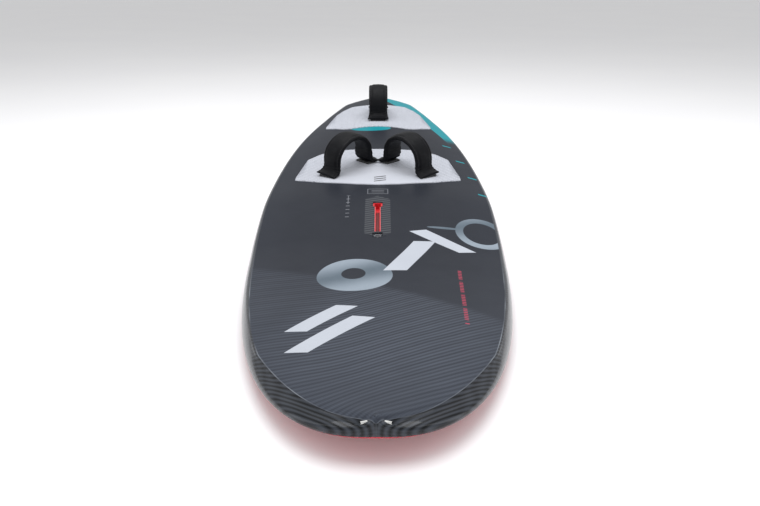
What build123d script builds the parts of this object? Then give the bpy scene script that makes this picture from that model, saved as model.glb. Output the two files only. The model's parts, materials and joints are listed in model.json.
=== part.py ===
"""Freestyle windsurf board: sandwich hull, mast track, fin, vent, pads and three footstraps.

Frame: the origin is the centre of the mast track's slot, level with the deck.
+Z points out of the deck, the nose is towards -Y and the tail towards +Y, and +X is across.
Stations are distances from the tail, in millimetres, and y = TRACK_STATION - station.
"""
from build123d import *
from math import cos, pi, sqrt
import os

# ---- hull: overall sizes -------------------------------------------------------------
LENGTH = 2250.0            # tail to nose tip
WIDTH = 628.0              # widest beam
THICKNESS = 120.0          # thickest place, at the front strap pad
NOSE_LIFT = 227.0          # height of the bottom at the nose above the flat run
ROCKER_START = 802.0       # station where the bottom leaves the flat run
ROCKER_POWER = 2.03
WIDE_STATION = 1225.0      # station of the widest beam
NOSE_FULLNESS = 2.03       # exponent on the way forward: higher holds the width longer
NOSE_ROUNDNESS = 0.411     # exponent that closes the nose: lower is blunter
NOSE_SHOULDER = 0.075      # extra width carried into the nose
TAIL_TAPER = 0.665         # share of the width lost between the widest beam and the tail
TAIL_ROUND = 90.0          # length over which the tail closes
DECK_CROWN = 26.0          # height of the deck's middle above its edge line
RAIL_APEX = 0.42           # height of the rail's outermost line, as a share of the rail
TUCK_AFT = 30.0            # width of the rounded lower rail
TUCK_NOSE = 65.0
EDGE_INSET_AFT = 14.0      # how far the deck's edge line lies inside the rail
EDGE_INSET_NOSE = 48.0
PARTING_SHARE = 0.55       # joint of the two skins, as a share of the rail apex height
CROWN_LIMIT = 0.35         # most of a section's height that the crown may take
CROWN_FADE = 200.0         # half width below which the crown flattens
INSET_LIMIT = 0.45         # most of the half width that the edge inset may take
TUCK_LIMIT = 0.5
TUCK_PULL = 0.42           # how full the lower rail's curve is
RAIL_PULL = 0.55           # how full the upper rail's curve is
EDGE_LEAN = 0.60           # share of the inset over which a soft deck edge runs on
CREASE_START = 0.72        # share of the length where the deck edge begins to sharpen
CREASE_LENGTH = 0.2        # share of the length over which it sharpens
CREASE_LEAN_LOSS = 0.40
CREASE_DROP = 0.30
END_FLAT = 0.5             # the lofts stop this far short of each tip
SECTIONS = 20              # spaces between lofted sections
SKIN = 4.0                 # carbon and foam sandwich wall
TIP_SKIN = 6.0             # wall at the two tips

# ---- mast track ----------------------------------------------------------------------
TRACK_STATION = 1273.0     # station of the slot's centre
DECK_FLAT_AFT = 110.0      # level stretch of deck behind the track's centre
DECK_FLAT_FORE = 110.0
DECK_AT_TRACK = 0.93       # local thickness there, as a share of the thickest
LIP_LENGTH = 174.0         # visible flange, outside
LIP_WIDTH = 16.0
SLOT_WIDTH = 10.0
LIP_END = 5.0              # flange left at each end of the slot
HEAD_LENGTH = 27.0         # widened entry at the tail end of the flange
HEAD_WIDTH = 25.0
HEAD_RIM = 4.0             # flange left round the entry
CHANNEL_WIDTH = 23.0       # room for the sliding nut under the lips
CHANNEL_TOP = 6.0          # depth of the lips
CHANNEL_DEPTH = 15.0       # depth of the channel's floor
TRACK_WALL = 6.0
TRACK_FLOOR = 5.0
BLOCK_WALL = 14.0          # dense foam left round each box

# ---- vent ----------------------------------------------------------------------------
VENT_STATION = 1376.0
VENT_RADIUS = 8.0
VENT_DEPTH = 20.0
VENT_HEAD_RADIUS = 6.0
VENT_HEAD_HEIGHT = 2.4
VENT_SCREW_RADIUS = 2.5
VENT_SCREW_LENGTH = 9.0
VENT_RING_HEIGHT = 1.0
VENT_RING_RADIUS = 4.6
VENT_KEY_WIDTH = 1.2       # screwdriver slot
VENT_KEY_DEPTH = 1.2
HEAD_CLEARANCE = 0.5
RUNNING_CLEARANCE = 0.05
THREAD_ROOM = 3.0          # left under a screw's end
CUT_MARGIN = 1.0           # how far a cutter runs past the face it opens

# ---- fin and fin box -----------------------------------------------------------------
FIN_STATION = 225.0        # middle of the fin box
FIN_BOX_LENGTH = 215.0
FIN_BOX_WIDTH = 25.0
FIN_BOX_DEPTH = 28.0
FIN_SLOT_LENGTH = 195.0
FIN_SLOT_WIDTH = 10.0
FIN_SLOT_DEPTH = 23.0
FIN_GROOVE_WIDTH = 17.0    # groove across the slot, for the pin and the plate
FIN_GROOVE_HEIGHT = 7.0
FIN_LIP = 5.0              # box left between the groove and the bottom
FIN_ENTRY = 12.0           # notch in the lips where pin and plate are dropped in
FIN_BASE_LENGTH = 112.0
FIN_BASE_HEIGHT = 20.0
FIN_BASE_WIDTH = 9.6
FIN_TAB_LENGTH = 22.0      # low front tab that the screw goes through
FIN_TAB_HEIGHT = 3.5
FIN_DEPTH = 180.0
FIN_ROOT_CHORD = 108.0
FIN_TIP_CHORD = 26.0
FIN_SWEEP = 62.0           # how far the tip's nose trails the root's
FIN_FOIL = 0.088           # thickness as a share of the chord
FIN_SHARES = (0.0, 0.3, 0.6, 0.85, 0.97, 1.0)   # depths of the lofted foils
FIN_TIP_CLOSE = 0.97       # how far the blade narrows at its very tip
FIN_TIP_KEEP = 0.45        # share of the chord that the narrowing leaves
FIN_TIP_TRAIL = 0.4        # how far the narrowed tip shifts back, in tip chords
FIN_TAPER_POWER = 1.5
FIN_SWEEP_POWER = 1.6
FIN_SET_BACK = 2.0         # blade's nose behind the base's front
FIN_EDGE_HALF = 0.3        # half thickness of the trailing edge
FIN_ROOT_OVERLAP = 0.5     # base carried down into the blade
FOIL_FRONT_PULL = 1.25     # how full the foil is in front, in half thicknesses
FOIL_BACK_PULL = 1.2
FOIL_BACK_AT = 0.45        # share of the chord where the fullness runs out
FIN_TRAVEL = 25.0          # slide each way in the box
PIN_RADIUS = 3.0
PIN_FROM_END = 12.0        # pin's centre ahead of the base's tail end
PIN_LENGTH = 16.4
PLATE_LENGTH = 16.0
PLATE_WIDTH = 16.4
PLATE_HEIGHT = 3.0
FIN_SCREW_RADIUS = 2.0
FIN_SCREW_HEAD_RADIUS = 3.8
FIN_SCREW_HEAD_HEIGHT = 2.6
FIN_WASHER_RADIUS = 4.4
FIN_WASHER_HEIGHT = 0.8
SLIDE_CLEARANCE = 0.3

# ---- deck pads -----------------------------------------------------------------------
PAD_BASE = 2.0             # dark backing sheet
PAD_TOP = 5.0              # pale cushion on it
PAD_REVEAL = 3.0           # backing left showing round the cushion
# (station, distance in from the rail, corner radius) from the centreline's front round to
# the rear; a distance of None stands for the centreline
FRONT_PAD_OUTLINE = [(1069.0, None, 0.0), (1030.0, 149.0, 60.0), (985.0, 62.0, 5.0),
                     (810.0, 69.0, 30.0), (767.0, 103.0, 30.0), (747.0, 168.0, 12.0)]
REAR_PAD_OUTLINE = [(497.0, None, 0.0), (519.0, 139.0, 45.0), (472.0, 56.0, 5.0),
                    (276.0, 40.0, 60.0), (219.0, 43.0, 20.0), (172.0, 58.0, 12.0)]

# ---- footstraps ----------------------------------------------------------------------
# centres of the two feet, as (x, station), for the strap on the -X side and the rear one
FRONT_OUTER_FOOT = (138.0, 978.0)
FRONT_INNER_FOOT = (35.0, 864.0)
REAR_FOOT_FORE = (0.0, 417.0)
REAR_FOOT_AFT = (0.0, 267.0)
STRAP_WIDTH = 64.0
STRAP_COVER = 1.5          # cover's wall
STRAP_FOAM = 6.0           # padding on the foot's side
STRAP_WEBBING = 3.0
STRAP_SIDE = 3.0           # room beside the webbing inside the cover
STRAP_HEIGHT = 104.0       # outer top above the pad
STRAP_LEG = 42.0           # straight part of each leg, from the pad
STRAP_LEG_INSET = 5.0      # how far the leg's outer face lies inside the foot's centre
STRAP_LIFT = 14.0          # bottom edge of the arch above the pad: the tongues bend there
TONGUE_LENGTH = 34.0
TONGUE_WIDTH = 50.0
TONGUE_HEIGHT = 3.0
PLATE_SIDE = 26.0          # anti-twist plate on each tongue
PLATE_THICK = 2.5
STRAP_SCREW_RADIUS = 3.1
STRAP_SCREW_HEAD_RADIUS = 5.6
STRAP_SCREW_HEAD_HEIGHT = 3.2
STRAP_SCREW_LENGTH = 32.0
STRAP_HOLE_CLEARANCE = 0.6
PLUG_RADIUS = 9.0
PLUG_LENGTH = 27.0
DRIVE_RADIUS = 1.9         # hexagonal drive recess in the screw heads
DRIVE_DEPTH = 1.8
DRIVE_SIDES = 6

BIG = 4000.0               # larger than the hull, for cutting
STRAP_THICKNESS = 2 * STRAP_COVER + STRAP_FOAM + STRAP_WEBBING
PAD_HEIGHT = PAD_BASE + PAD_TOP


# ---- hull shape ----------------------------------------------------------------------
def eased(points, s):
    """Value at s of a smooth curve through (s, value) points that never overshoots them."""
    last = len(points) - 2
    slopes = [(b[1] - a[1]) / (b[0] - a[0]) for a, b in zip(points, points[1:])]
    turns = [slopes[0]]
    for before, after in zip(slopes, slopes[1:]):
        turns.append(2 * before * after / (before + after) if before * after > 0 else 0.0)
    turns.append(slopes[-1])
    i = 0
    while i < last and s > points[i + 1][0]:
        i += 1
    step = points[i + 1][0] - points[i][0]
    u = (s - points[i][0]) / step
    return ((2 * u ** 3 - 3 * u ** 2 + 1) * points[i][1] + (u ** 3 - 2 * u ** 2 + u) * step * turns[i]
            + (3 * u ** 2 - 2 * u ** 3) * points[i + 1][1] + (u ** 3 - u ** 2) * step * turns[i + 1])


def half_width(s):
    """Half the beam at a station."""
    if s > WIDE_STATION:
        u = (s - WIDE_STATION) / (LENGTH - WIDE_STATION)
        close = max(1 - u ** NOSE_FULLNESS, 0.0) ** NOSE_ROUNDNESS
        return WIDTH / 2 * close * (1 + NOSE_SHOULDER * u ** 2 * (1 - u))
    u = (WIDE_STATION - s) / WIDE_STATION
    close = sqrt(max(1 - max(1 - s / TAIL_ROUND, 0.0) ** 2, 0.0))
    return WIDTH / 2 * (1 - TAIL_TAPER * u ** 2) * close


def rocker(s):
    """Height of the bottom above its flat run."""
    u = max((s - ROCKER_START) / (LENGTH - ROCKER_START), 0.0)
    return NOSE_LIFT * u ** ROCKER_POWER


TRACK_HEIGHT = rocker(TRACK_STATION) + DECK_AT_TRACK * THICKNESS
BOTTOM_Z = -TRACK_HEIGHT   # the bottom's flat run


def deck_points():
    """The deck's centreline as (station, height above the bottom's flat run)."""
    aft_end = TRACK_STATION - DECK_FLAT_AFT
    fore_start = TRACK_STATION + DECK_FLAT_FORE
    aft = [(0.0, 0.30), (0.136, 0.48), (0.273, 0.64), (0.526, 0.86), (0.82, 1.0)]
    fore = [(0.206, 0.75), (0.562, 0.66), (0.808, 0.48), (1.0, 0.32)]
    points = [(share * aft_end, rocker(share * aft_end) + thick * THICKNESS) for share, thick in aft]
    points += [(aft_end, TRACK_HEIGHT), (fore_start, TRACK_HEIGHT)]
    for share, thick in fore:
        s = fore_start + share * (LENGTH - fore_start)
        points.append((s, rocker(s) + thick * THICKNESS))
    return points


DECK_LINE = deck_points()


def deck_height(s):
    """Height of the deck's centreline above the bottom's flat run."""
    return eased(DECK_LINE, s)


def blend_to_nose(s, aft, nose):
    """A size that holds its value aft and grows towards the nose."""
    share = max(0.0, (s / LENGTH - 0.5) / 0.5)
    return aft + (nose - aft) * share


def rail(s, wall):
    """Half width, bottom, top, edge inset, crown and apex height of the section at a station."""
    w = half_width(s) - wall
    bottom = rocker(s) + wall
    top = deck_height(s) - wall
    crown = min((top - bottom) * CROWN_LIMIT, DECK_CROWN * min(1.0, w / CROWN_FADE))
    inset = min(w * INSET_LIMIT, blend_to_nose(s, EDGE_INSET_AFT, EDGE_INSET_NOSE))
    apex = bottom + (top - crown - bottom) * RAIL_APEX
    return w, bottom, top, inset, crown, apex


def section_wire(s, y, wall=0.0):
    """Closed section of the hull at a station: bottom, lower and upper rails, and deck."""
    w, bottom, top, inset, crown, apex = rail(s, wall)
    tuck = min(w * TUCK_LIMIT, blend_to_nose(s, TUCK_AFT, TUCK_NOSE))
    edge_x = w - inset
    edge_z = top - crown
    # aft the upper rail runs smoothly into the deck; towards the nose it meets it at an edge
    crease = min(1.0, max(0.0, (s / LENGTH - CREASE_START) / CREASE_LENGTH))
    slope = 2 * crown / max(edge_x, 1.0)
    lean_x = inset * (EDGE_LEAN - CREASE_LEAN_LOSS * crease)
    lean_z = lean_x * slope + (edge_z - apex) * CREASE_DROP * crease

    tuck_x = w - TUCK_PULL * tuck
    tuck_z = bottom + TUCK_PULL * (apex - bottom)
    full_z = apex + RAIL_PULL * (edge_z - apex)

    def at(x, z):
        return (x, y, z + BOTTOM_Z)

    edges = [Edge.make_line(at(-(w - tuck), bottom), at(w - tuck, bottom))]
    edges.append(Edge.make_bezier(at(w - tuck, bottom), at(tuck_x, bottom), at(w, tuck_z),
                                  at(w, apex)))
    edges.append(Edge.make_bezier(at(w, apex), at(w, full_z),
                                  at(edge_x + lean_x, edge_z - lean_z), at(edge_x, edge_z)))
    edges.append(Edge.make_bezier(at(edge_x, edge_z), at(edge_x / 3, edge_z + crown * 4 / 3),
                                  at(-edge_x / 3, edge_z + crown * 4 / 3), at(-edge_x, edge_z)))
    edges.append(Edge.make_bezier(at(-edge_x, edge_z), at(-edge_x - lean_x, edge_z - lean_z),
                                  at(-w, full_z), at(-w, apex)))
    edges.append(Edge.make_bezier(at(-w, apex), at(-w, tuck_z), at(-tuck_x, bottom),
                                  at(-(w - tuck), bottom)))
    return Wire(edges)


def stations():
    """Stations of the lofted sections, closer together towards the tips."""
    inner = [LENGTH * (0.5 - 0.5 * cos(pi * i / SECTIONS)) for i in range(1, SECTIONS)]
    return [END_FLAT] + inner + [LENGTH - END_FLAT]


def hull_loft(wall=0.0, tip_wall=0.0):
    """The hull's solid, or the solid inside a wall of the given thickness."""
    wires = []
    for s in stations():
        placed = tip_wall + s * (LENGTH - 2 * tip_wall) / LENGTH
        wires.append(section_wire(s, TRACK_STATION - placed, wall))
    return Solid.make_loft(wires)


def above_parting():
    """Everything above the joint line of the two skins."""
    points = []
    for s in stations():
        bottom, apex = rail(s, 0.0)[1], rail(s, 0.0)[5]
        points.append((0.0, TRACK_STATION - s, BOTTOM_Z + bottom + PARTING_SHARE * (apex - bottom)))
    tail = (0.0, BIG, points[0][2])
    nose = (0.0, -BIG, points[-1][2])
    edges = [Edge.make_line(tail, points[0]), Edge.make_spline([Vector(*p) for p in points]),
             Edge.make_line(points[-1], nose), Edge.make_line(nose, (0, -BIG, BIG)),
             Edge.make_line((0, -BIG, BIG), (0, BIG, BIG)), Edge.make_line((0, BIG, BIG), tail)]
    face = Face(Wire(edges))
    return extrude(face, amount=BIG / 2, dir=(1, 0, 0), both=True)


# ---- helpers -------------------------------------------------------------------------
def block(x_size, y_size, z_low, z_high, x=0.0, y=0.0):
    """An upright box centred on (x, y), from one height to another."""
    return Pos(x, y, (z_low + z_high) / 2) * Box(x_size, y_size, z_high - z_low)


def post(radius, z_low, z_high, x=0.0, y=0.0):
    """An upright cylinder centred on (x, y)."""
    return Pos(x, y, (z_low + z_high) / 2) * Cylinder(radius, z_high - z_low)


def drive_recess(radius, z_top, depth, x, y):
    """A hexagonal recess for a driver, cut down from the top of a head."""
    shape = Pos(x, y, z_top - depth) * RegularPolygon(radius, DRIVE_SIDES)
    return extrude(shape, amount=depth + CUT_MARGIN, dir=(0, 0, 1))


def outline_prism(outline, shrink=0.0):
    """Upright prism over a symmetric outline given by stations and margins from the rail."""
    side, radii = [], []
    for s, margin, radius in outline:
        x = 0.0 if margin is None else half_width(s) - margin
        side.append((x, TRACK_STATION - s))
        radii.append(radius)
    mirrored = [(-x, y) for x, y in reversed(side) if x > 0]
    shape = make_face(Polyline(*side, *mirrored, close=True))
    for (x, y), radius in zip(side, radii):
        corners = [v for v in shape.vertices() if abs(abs(v.X) - x) + abs(v.Y - y) < 0.01]
        if radius:
            shape = fillet(corners, radius)
    if shrink:
        shape = offset(shape, -shrink, kind=Kind.INTERSECTION)
    return extrude(Pos(0, 0, -BIG / 2) * shape, amount=BIG, dir=(0, 0, 1))


def surface_z(x, s, raise_by=0.0):
    """Height of the deck, or of something of even thickness on it, at a place."""
    w, _, top, inset, crown, _ = rail(s, 0.0)
    return BOTTOM_Z + top - crown * (x / (w - inset)) ** 2 + raise_by


# ---- sub-parts -----------------------------------------------------------------------
def track_neck():
    """Outline of the track's flange where it comes through the deck."""
    y_tail = LIP_LENGTH / 2
    lips = Rectangle(LIP_WIDTH, LIP_LENGTH)
    head = Pos(0, y_tail - HEAD_LENGTH / 2) * Rectangle(HEAD_WIDTH, HEAD_LENGTH)
    return lips + head


def track_box():
    """Mast track box: flanged top, slot, entry and the nut's channel."""
    body_low = -(CHANNEL_DEPTH + TRACK_FLOOR)
    body_length = LIP_LENGTH + 2 * TRACK_WALL
    body = block(CHANNEL_WIDTH + 2 * TRACK_WALL, body_length, body_low, -SKIN)
    neck = extrude(Pos(0, 0, -SKIN - CUT_MARGIN) * track_neck(), amount=SKIN + CUT_MARGIN,
                   dir=(0, 0, 1))
    slot_length = LIP_LENGTH - 2 * LIP_END
    slot = block(SLOT_WIDTH, slot_length, -CHANNEL_DEPTH, CUT_MARGIN)
    entry_length = HEAD_LENGTH - 2 * HEAD_RIM
    entry = block(HEAD_WIDTH - 2 * HEAD_RIM, entry_length, -CHANNEL_DEPTH, CUT_MARGIN,
                  y=LIP_LENGTH / 2 - HEAD_LENGTH / 2)
    channel = block(CHANNEL_WIDTH, slot_length, -CHANNEL_DEPTH, -CHANNEL_TOP)
    return body + neck - slot - entry - channel


def dense_block(box_length, box_width, z_low, z_high, y, core):
    """Dense foam cast round a box, inside the core's outline."""
    return block(box_width + 2 * BLOCK_WALL, box_length + 2 * BLOCK_WALL, z_low, z_high, y=y) & core


def vent_parts():
    """Vent housing, its screw and its sealing ring."""
    y = TRACK_STATION - VENT_STATION
    seat = -(VENT_HEAD_HEIGHT + VENT_RING_HEIGHT)
    under_head = seat + VENT_RING_HEIGHT + RUNNING_CLEARANCE
    end = under_head - VENT_SCREW_LENGTH
    housing = post(VENT_RADIUS, -VENT_DEPTH, 0.0, y=y)
    housing -= post(VENT_HEAD_RADIUS + HEAD_CLEARANCE, seat, CUT_MARGIN, y=y)
    housing -= post(VENT_SCREW_RADIUS + RUNNING_CLEARANCE, end - THREAD_ROOM, CUT_MARGIN, y=y)
    screw = post(VENT_HEAD_RADIUS, under_head, under_head + VENT_HEAD_HEIGHT, y=y)
    screw += post(VENT_SCREW_RADIUS, end, under_head, y=y)
    key_top = under_head + VENT_HEAD_HEIGHT
    screw -= block(2 * (VENT_HEAD_RADIUS + CUT_MARGIN), VENT_KEY_WIDTH, key_top - VENT_KEY_DEPTH,
                   key_top + CUT_MARGIN, y=y)
    ring = post(VENT_RING_RADIUS, seat, seat + VENT_RING_HEIGHT, y=y)
    ring -= post(VENT_SCREW_RADIUS + RUNNING_CLEARANCE, seat - CUT_MARGIN,
                 seat + VENT_RING_HEIGHT + CUT_MARGIN, y=y)
    return housing, screw, ring


def fin_box():
    """Fin box in the bottom: slot, groove for pin and plate, and their entry notch."""
    y = TRACK_STATION - FIN_STATION
    low = BOTTOM_Z
    groove_low = low + FIN_LIP
    box = block(FIN_BOX_WIDTH, FIN_BOX_LENGTH, low, low + FIN_BOX_DEPTH, y=y)
    box -= block(FIN_SLOT_WIDTH, FIN_SLOT_LENGTH, low - CUT_MARGIN, low + FIN_SLOT_DEPTH, y=y)
    box -= block(FIN_GROOVE_WIDTH, FIN_SLOT_LENGTH, groove_low, groove_low + FIN_GROOVE_HEIGHT, y=y)
    entry_y = y - FIN_SLOT_LENGTH / 2 + FIN_ENTRY / 2
    return box - block(FIN_GROOVE_WIDTH, FIN_ENTRY, low - CUT_MARGIN, groove_low + CUT_MARGIN,
                       y=entry_y)


def foil(chord, z, y_front):
    """Symmetric foil section of the fin, round in front and thin behind."""
    t = chord * FIN_FOIL / 2
    y_back = y_front + chord
    y_full = y_front + FOIL_BACK_AT * chord
    front_x, back_x, edge_x = FOIL_FRONT_PULL * t, FOIL_BACK_PULL * t, FIN_EDGE_HALF
    side = [Edge.make_bezier((0, y_front, z), (front_x, y_front, z), (back_x, y_full, z),
                             (edge_x, y_back, z)),
            Edge.make_line((edge_x, y_back, z), (-edge_x, y_back, z)),
            Edge.make_bezier((-edge_x, y_back, z), (-back_x, y_full, z), (-front_x, y_front, z),
                             (0, y_front, z))]
    return Wire(side)


def fin_blade():
    """The fin: lofted blade, base that fills the slot, and the front tab for the screw."""
    y_front = TRACK_STATION - FIN_STATION - FIN_BASE_LENGTH / 2
    sections = []
    for share in FIN_SHARES:
        narrowing = sqrt(1 - FIN_TIP_CLOSE * share ** 3)
        taper = 1 - share ** FIN_TAPER_POWER
        chord = FIN_TIP_CHORD + (FIN_ROOT_CHORD - FIN_TIP_CHORD) * taper
        chord = chord * (FIN_TIP_KEEP + (1 - FIN_TIP_KEEP) * narrowing)
        trail = FIN_SWEEP * share ** FIN_SWEEP_POWER
        trail += (1 - narrowing) * FIN_TIP_CHORD * FIN_TIP_TRAIL
        z = BOTTOM_Z - share * FIN_DEPTH - SLIDE_CLEARANCE
        sections.append(foil(chord, z, y_front + FIN_SET_BACK + trail))
    blade = Solid.make_loft(sections)
    base_low = BOTTOM_Z - SLIDE_CLEARANCE - FIN_ROOT_OVERLAP
    base = block(FIN_BASE_WIDTH, FIN_BASE_LENGTH, base_low, BOTTOM_Z + FIN_BASE_HEIGHT,
                 y=y_front + FIN_BASE_LENGTH / 2)
    tab_y = y_front - FIN_TAB_LENGTH / 2
    tab = block(FIN_BASE_WIDTH, FIN_TAB_LENGTH + 2 * CUT_MARGIN, BOTTOM_Z, BOTTOM_Z + FIN_TAB_HEIGHT,
                y=tab_y + CUT_MARGIN)
    pin_z = BOTTOM_Z + FIN_LIP + FIN_GROOVE_HEIGHT / 2
    pin_y = y_front + FIN_BASE_LENGTH - PIN_FROM_END
    pin_hole = Pos(0, pin_y, pin_z) * Rot(0, 90, 0) * Cylinder(PIN_RADIUS, FIN_BASE_WIDTH + 2 * CUT_MARGIN)
    screw_hole = post(FIN_SCREW_RADIUS + STRAP_HOLE_CLEARANCE, BOTTOM_Z - CUT_MARGIN,
                      BOTTOM_Z + FIN_TAB_HEIGHT + CUT_MARGIN, y=tab_y)
    fin = blade + base + tab - pin_hole - screw_hole
    pin = Pos(0, pin_y, pin_z) * Rot(0, 90, 0) * Cylinder(PIN_RADIUS, PIN_LENGTH)
    return fin, pin, tab_y


def fin_fixings(y):
    """Plate in the groove, screw from below and the washer under its head."""
    plate_low = BOTTOM_Z + FIN_LIP + SLIDE_CLEARANCE
    plate = block(PLATE_WIDTH, PLATE_LENGTH, plate_low, plate_low + PLATE_HEIGHT, y=y)
    plate -= post(FIN_SCREW_RADIUS + RUNNING_CLEARANCE, plate_low - CUT_MARGIN,
                  plate_low + PLATE_HEIGHT + CUT_MARGIN, y=y)
    washer_top = BOTTOM_Z - RUNNING_CLEARANCE
    washer_low = washer_top - FIN_WASHER_HEIGHT
    washer = post(FIN_WASHER_RADIUS, washer_low, washer_top, y=y)
    washer -= post(FIN_SCREW_RADIUS + RUNNING_CLEARANCE, washer_low - CUT_MARGIN,
                   washer_top + CUT_MARGIN, y=y)
    head_top = washer_low - RUNNING_CLEARANCE
    head_low = head_top - FIN_SCREW_HEAD_HEIGHT
    screw = post(FIN_SCREW_HEAD_RADIUS, head_low, head_top, y=y)
    screw += post(FIN_SCREW_RADIUS, head_top, plate_low + PLATE_HEIGHT, y=y)
    key = Pos(0, y, head_low - CUT_MARGIN) * RegularPolygon(DRIVE_RADIUS, DRIVE_SIDES)
    screw -= extrude(key, amount=CUT_MARGIN + DRIVE_DEPTH, dir=(0, 0, 1))
    return plate, washer, screw


def arch(plane, gap_in, gap_out, width, height):
    """Inverted U across a plane: between two offsets from the outer face, legs to the top."""
    half_span = plane_half_span(plane)

    def u_shape(inward):
        a = half_span - inward
        rise = height - STRAP_LEG - inward
        top = Pos(0, STRAP_LEG) * Ellipse(a, rise)
        keep = Pos(0, STRAP_LEG + rise) * Rectangle(3 * a, 2 * rise)
        return (top & keep) + Pos(0, STRAP_LEG / 2) * Rectangle(2 * a, STRAP_LEG)

    ring = u_shape(gap_in) - u_shape(gap_out)
    ring -= Rectangle(4 * half_span, 2 * STRAP_LIFT)
    return extrude(plane[0] * ring, amount=width / 2, both=True)


def strap_plane(foot_a, foot_b):
    """Plane across a strap through its two feet, with the origin on the pad between them."""
    a, b = (Vector(x, TRACK_STATION - s, surface_z(x, s, PAD_HEIGHT)) for x, s in (foot_a, foot_b))
    along = (b - a).normalized()
    sideways = Vector(along.Y, -along.X, 0).normalized()
    return Plane(origin=(a + b) / 2, x_dir=along, z_dir=sideways), (b - a).length


def plane_half_span(plane):
    """Half the distance across a strap's legs, outside to outside."""
    return plane[1] / 2 - STRAP_LEG_INSET


def strap(plane):
    """Cover, webbing and padding of one strap: nested arches that share their faces."""
    inside = STRAP_THICKNESS - STRAP_COVER
    inner_width = STRAP_WIDTH - 2 * STRAP_COVER
    cover = arch(plane, 0.0, STRAP_THICKNESS, STRAP_WIDTH, STRAP_HEIGHT)
    cover -= arch(plane, STRAP_COVER, inside, inner_width, STRAP_HEIGHT)
    split = STRAP_COVER + STRAP_WEBBING
    webbing = arch(plane, STRAP_COVER, split, inner_width - 2 * STRAP_SIDE, STRAP_HEIGHT)
    padding = arch(plane, split, inside, inner_width, STRAP_HEIGHT)
    return cover, webbing, padding


def strap_foot(foot, plane, raised_hull):
    """Tongue, anti-twist plate, screw, plug and screw hole of one strap foot."""
    x, s = foot
    y = TRACK_STATION - s
    ground = surface_z(x, s, PAD_HEIGHT)
    turn = Plane(origin=(x, y, 0), x_dir=(plane[0].x_dir.X, plane[0].x_dir.Y, 0), z_dir=(0, 0, 1))
    tongue_top = ground + TONGUE_HEIGHT
    plate_top = tongue_top + PLATE_THICK
    head_top = plate_top + STRAP_SCREW_HEAD_HEIGHT
    end = plate_top - STRAP_SCREW_LENGTH
    hole = post(STRAP_SCREW_RADIUS + STRAP_HOLE_CLEARANCE, end, head_top, x, y)
    tongue = turn * block(TONGUE_LENGTH, TONGUE_WIDTH, ground - 4 * TONGUE_HEIGHT, tongue_top)
    tongue = tongue - raised_hull - hole
    plate = turn * block(PLATE_SIDE, PLATE_SIDE, tongue_top, plate_top) - hole
    screw = post(STRAP_SCREW_HEAD_RADIUS, plate_top, head_top, x, y)
    screw += post(STRAP_SCREW_RADIUS, end, plate_top, x, y)
    screw -= drive_recess(DRIVE_RADIUS, head_top, DRIVE_DEPTH, x, y)
    plug = post(PLUG_RADIUS, end - THREAD_ROOM, ground, x, y)
    thread = post(STRAP_SCREW_RADIUS + RUNNING_CLEARANCE, end - RUNNING_CLEARANCE, head_top, x, y)
    return tongue, plate, screw, plug, thread, hole


# ---- assembly ------------------------------------------------------------------------
def pads(hull, raised, holes):
    """Backing sheets and cushions of both pads, shaped to the deck."""
    lifted = Pos(0, 0, PAD_BASE) * hull
    made = {}
    for name, outline in (("front_pad", FRONT_PAD_OUTLINE), ("rear_pad", REAR_PAD_OUTLINE)):
        made[name + "_backing"] = (outline_prism(outline) & lifted) - hull - holes
        made[name] = (outline_prism(outline, PAD_REVEAL) & raised) - lifted - holes
    return made


def mirrored_foot(foot, side):
    """A foot on the -X side (side -1) or the +X side (side 1)."""
    return side * foot[0], foot[1]


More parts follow.
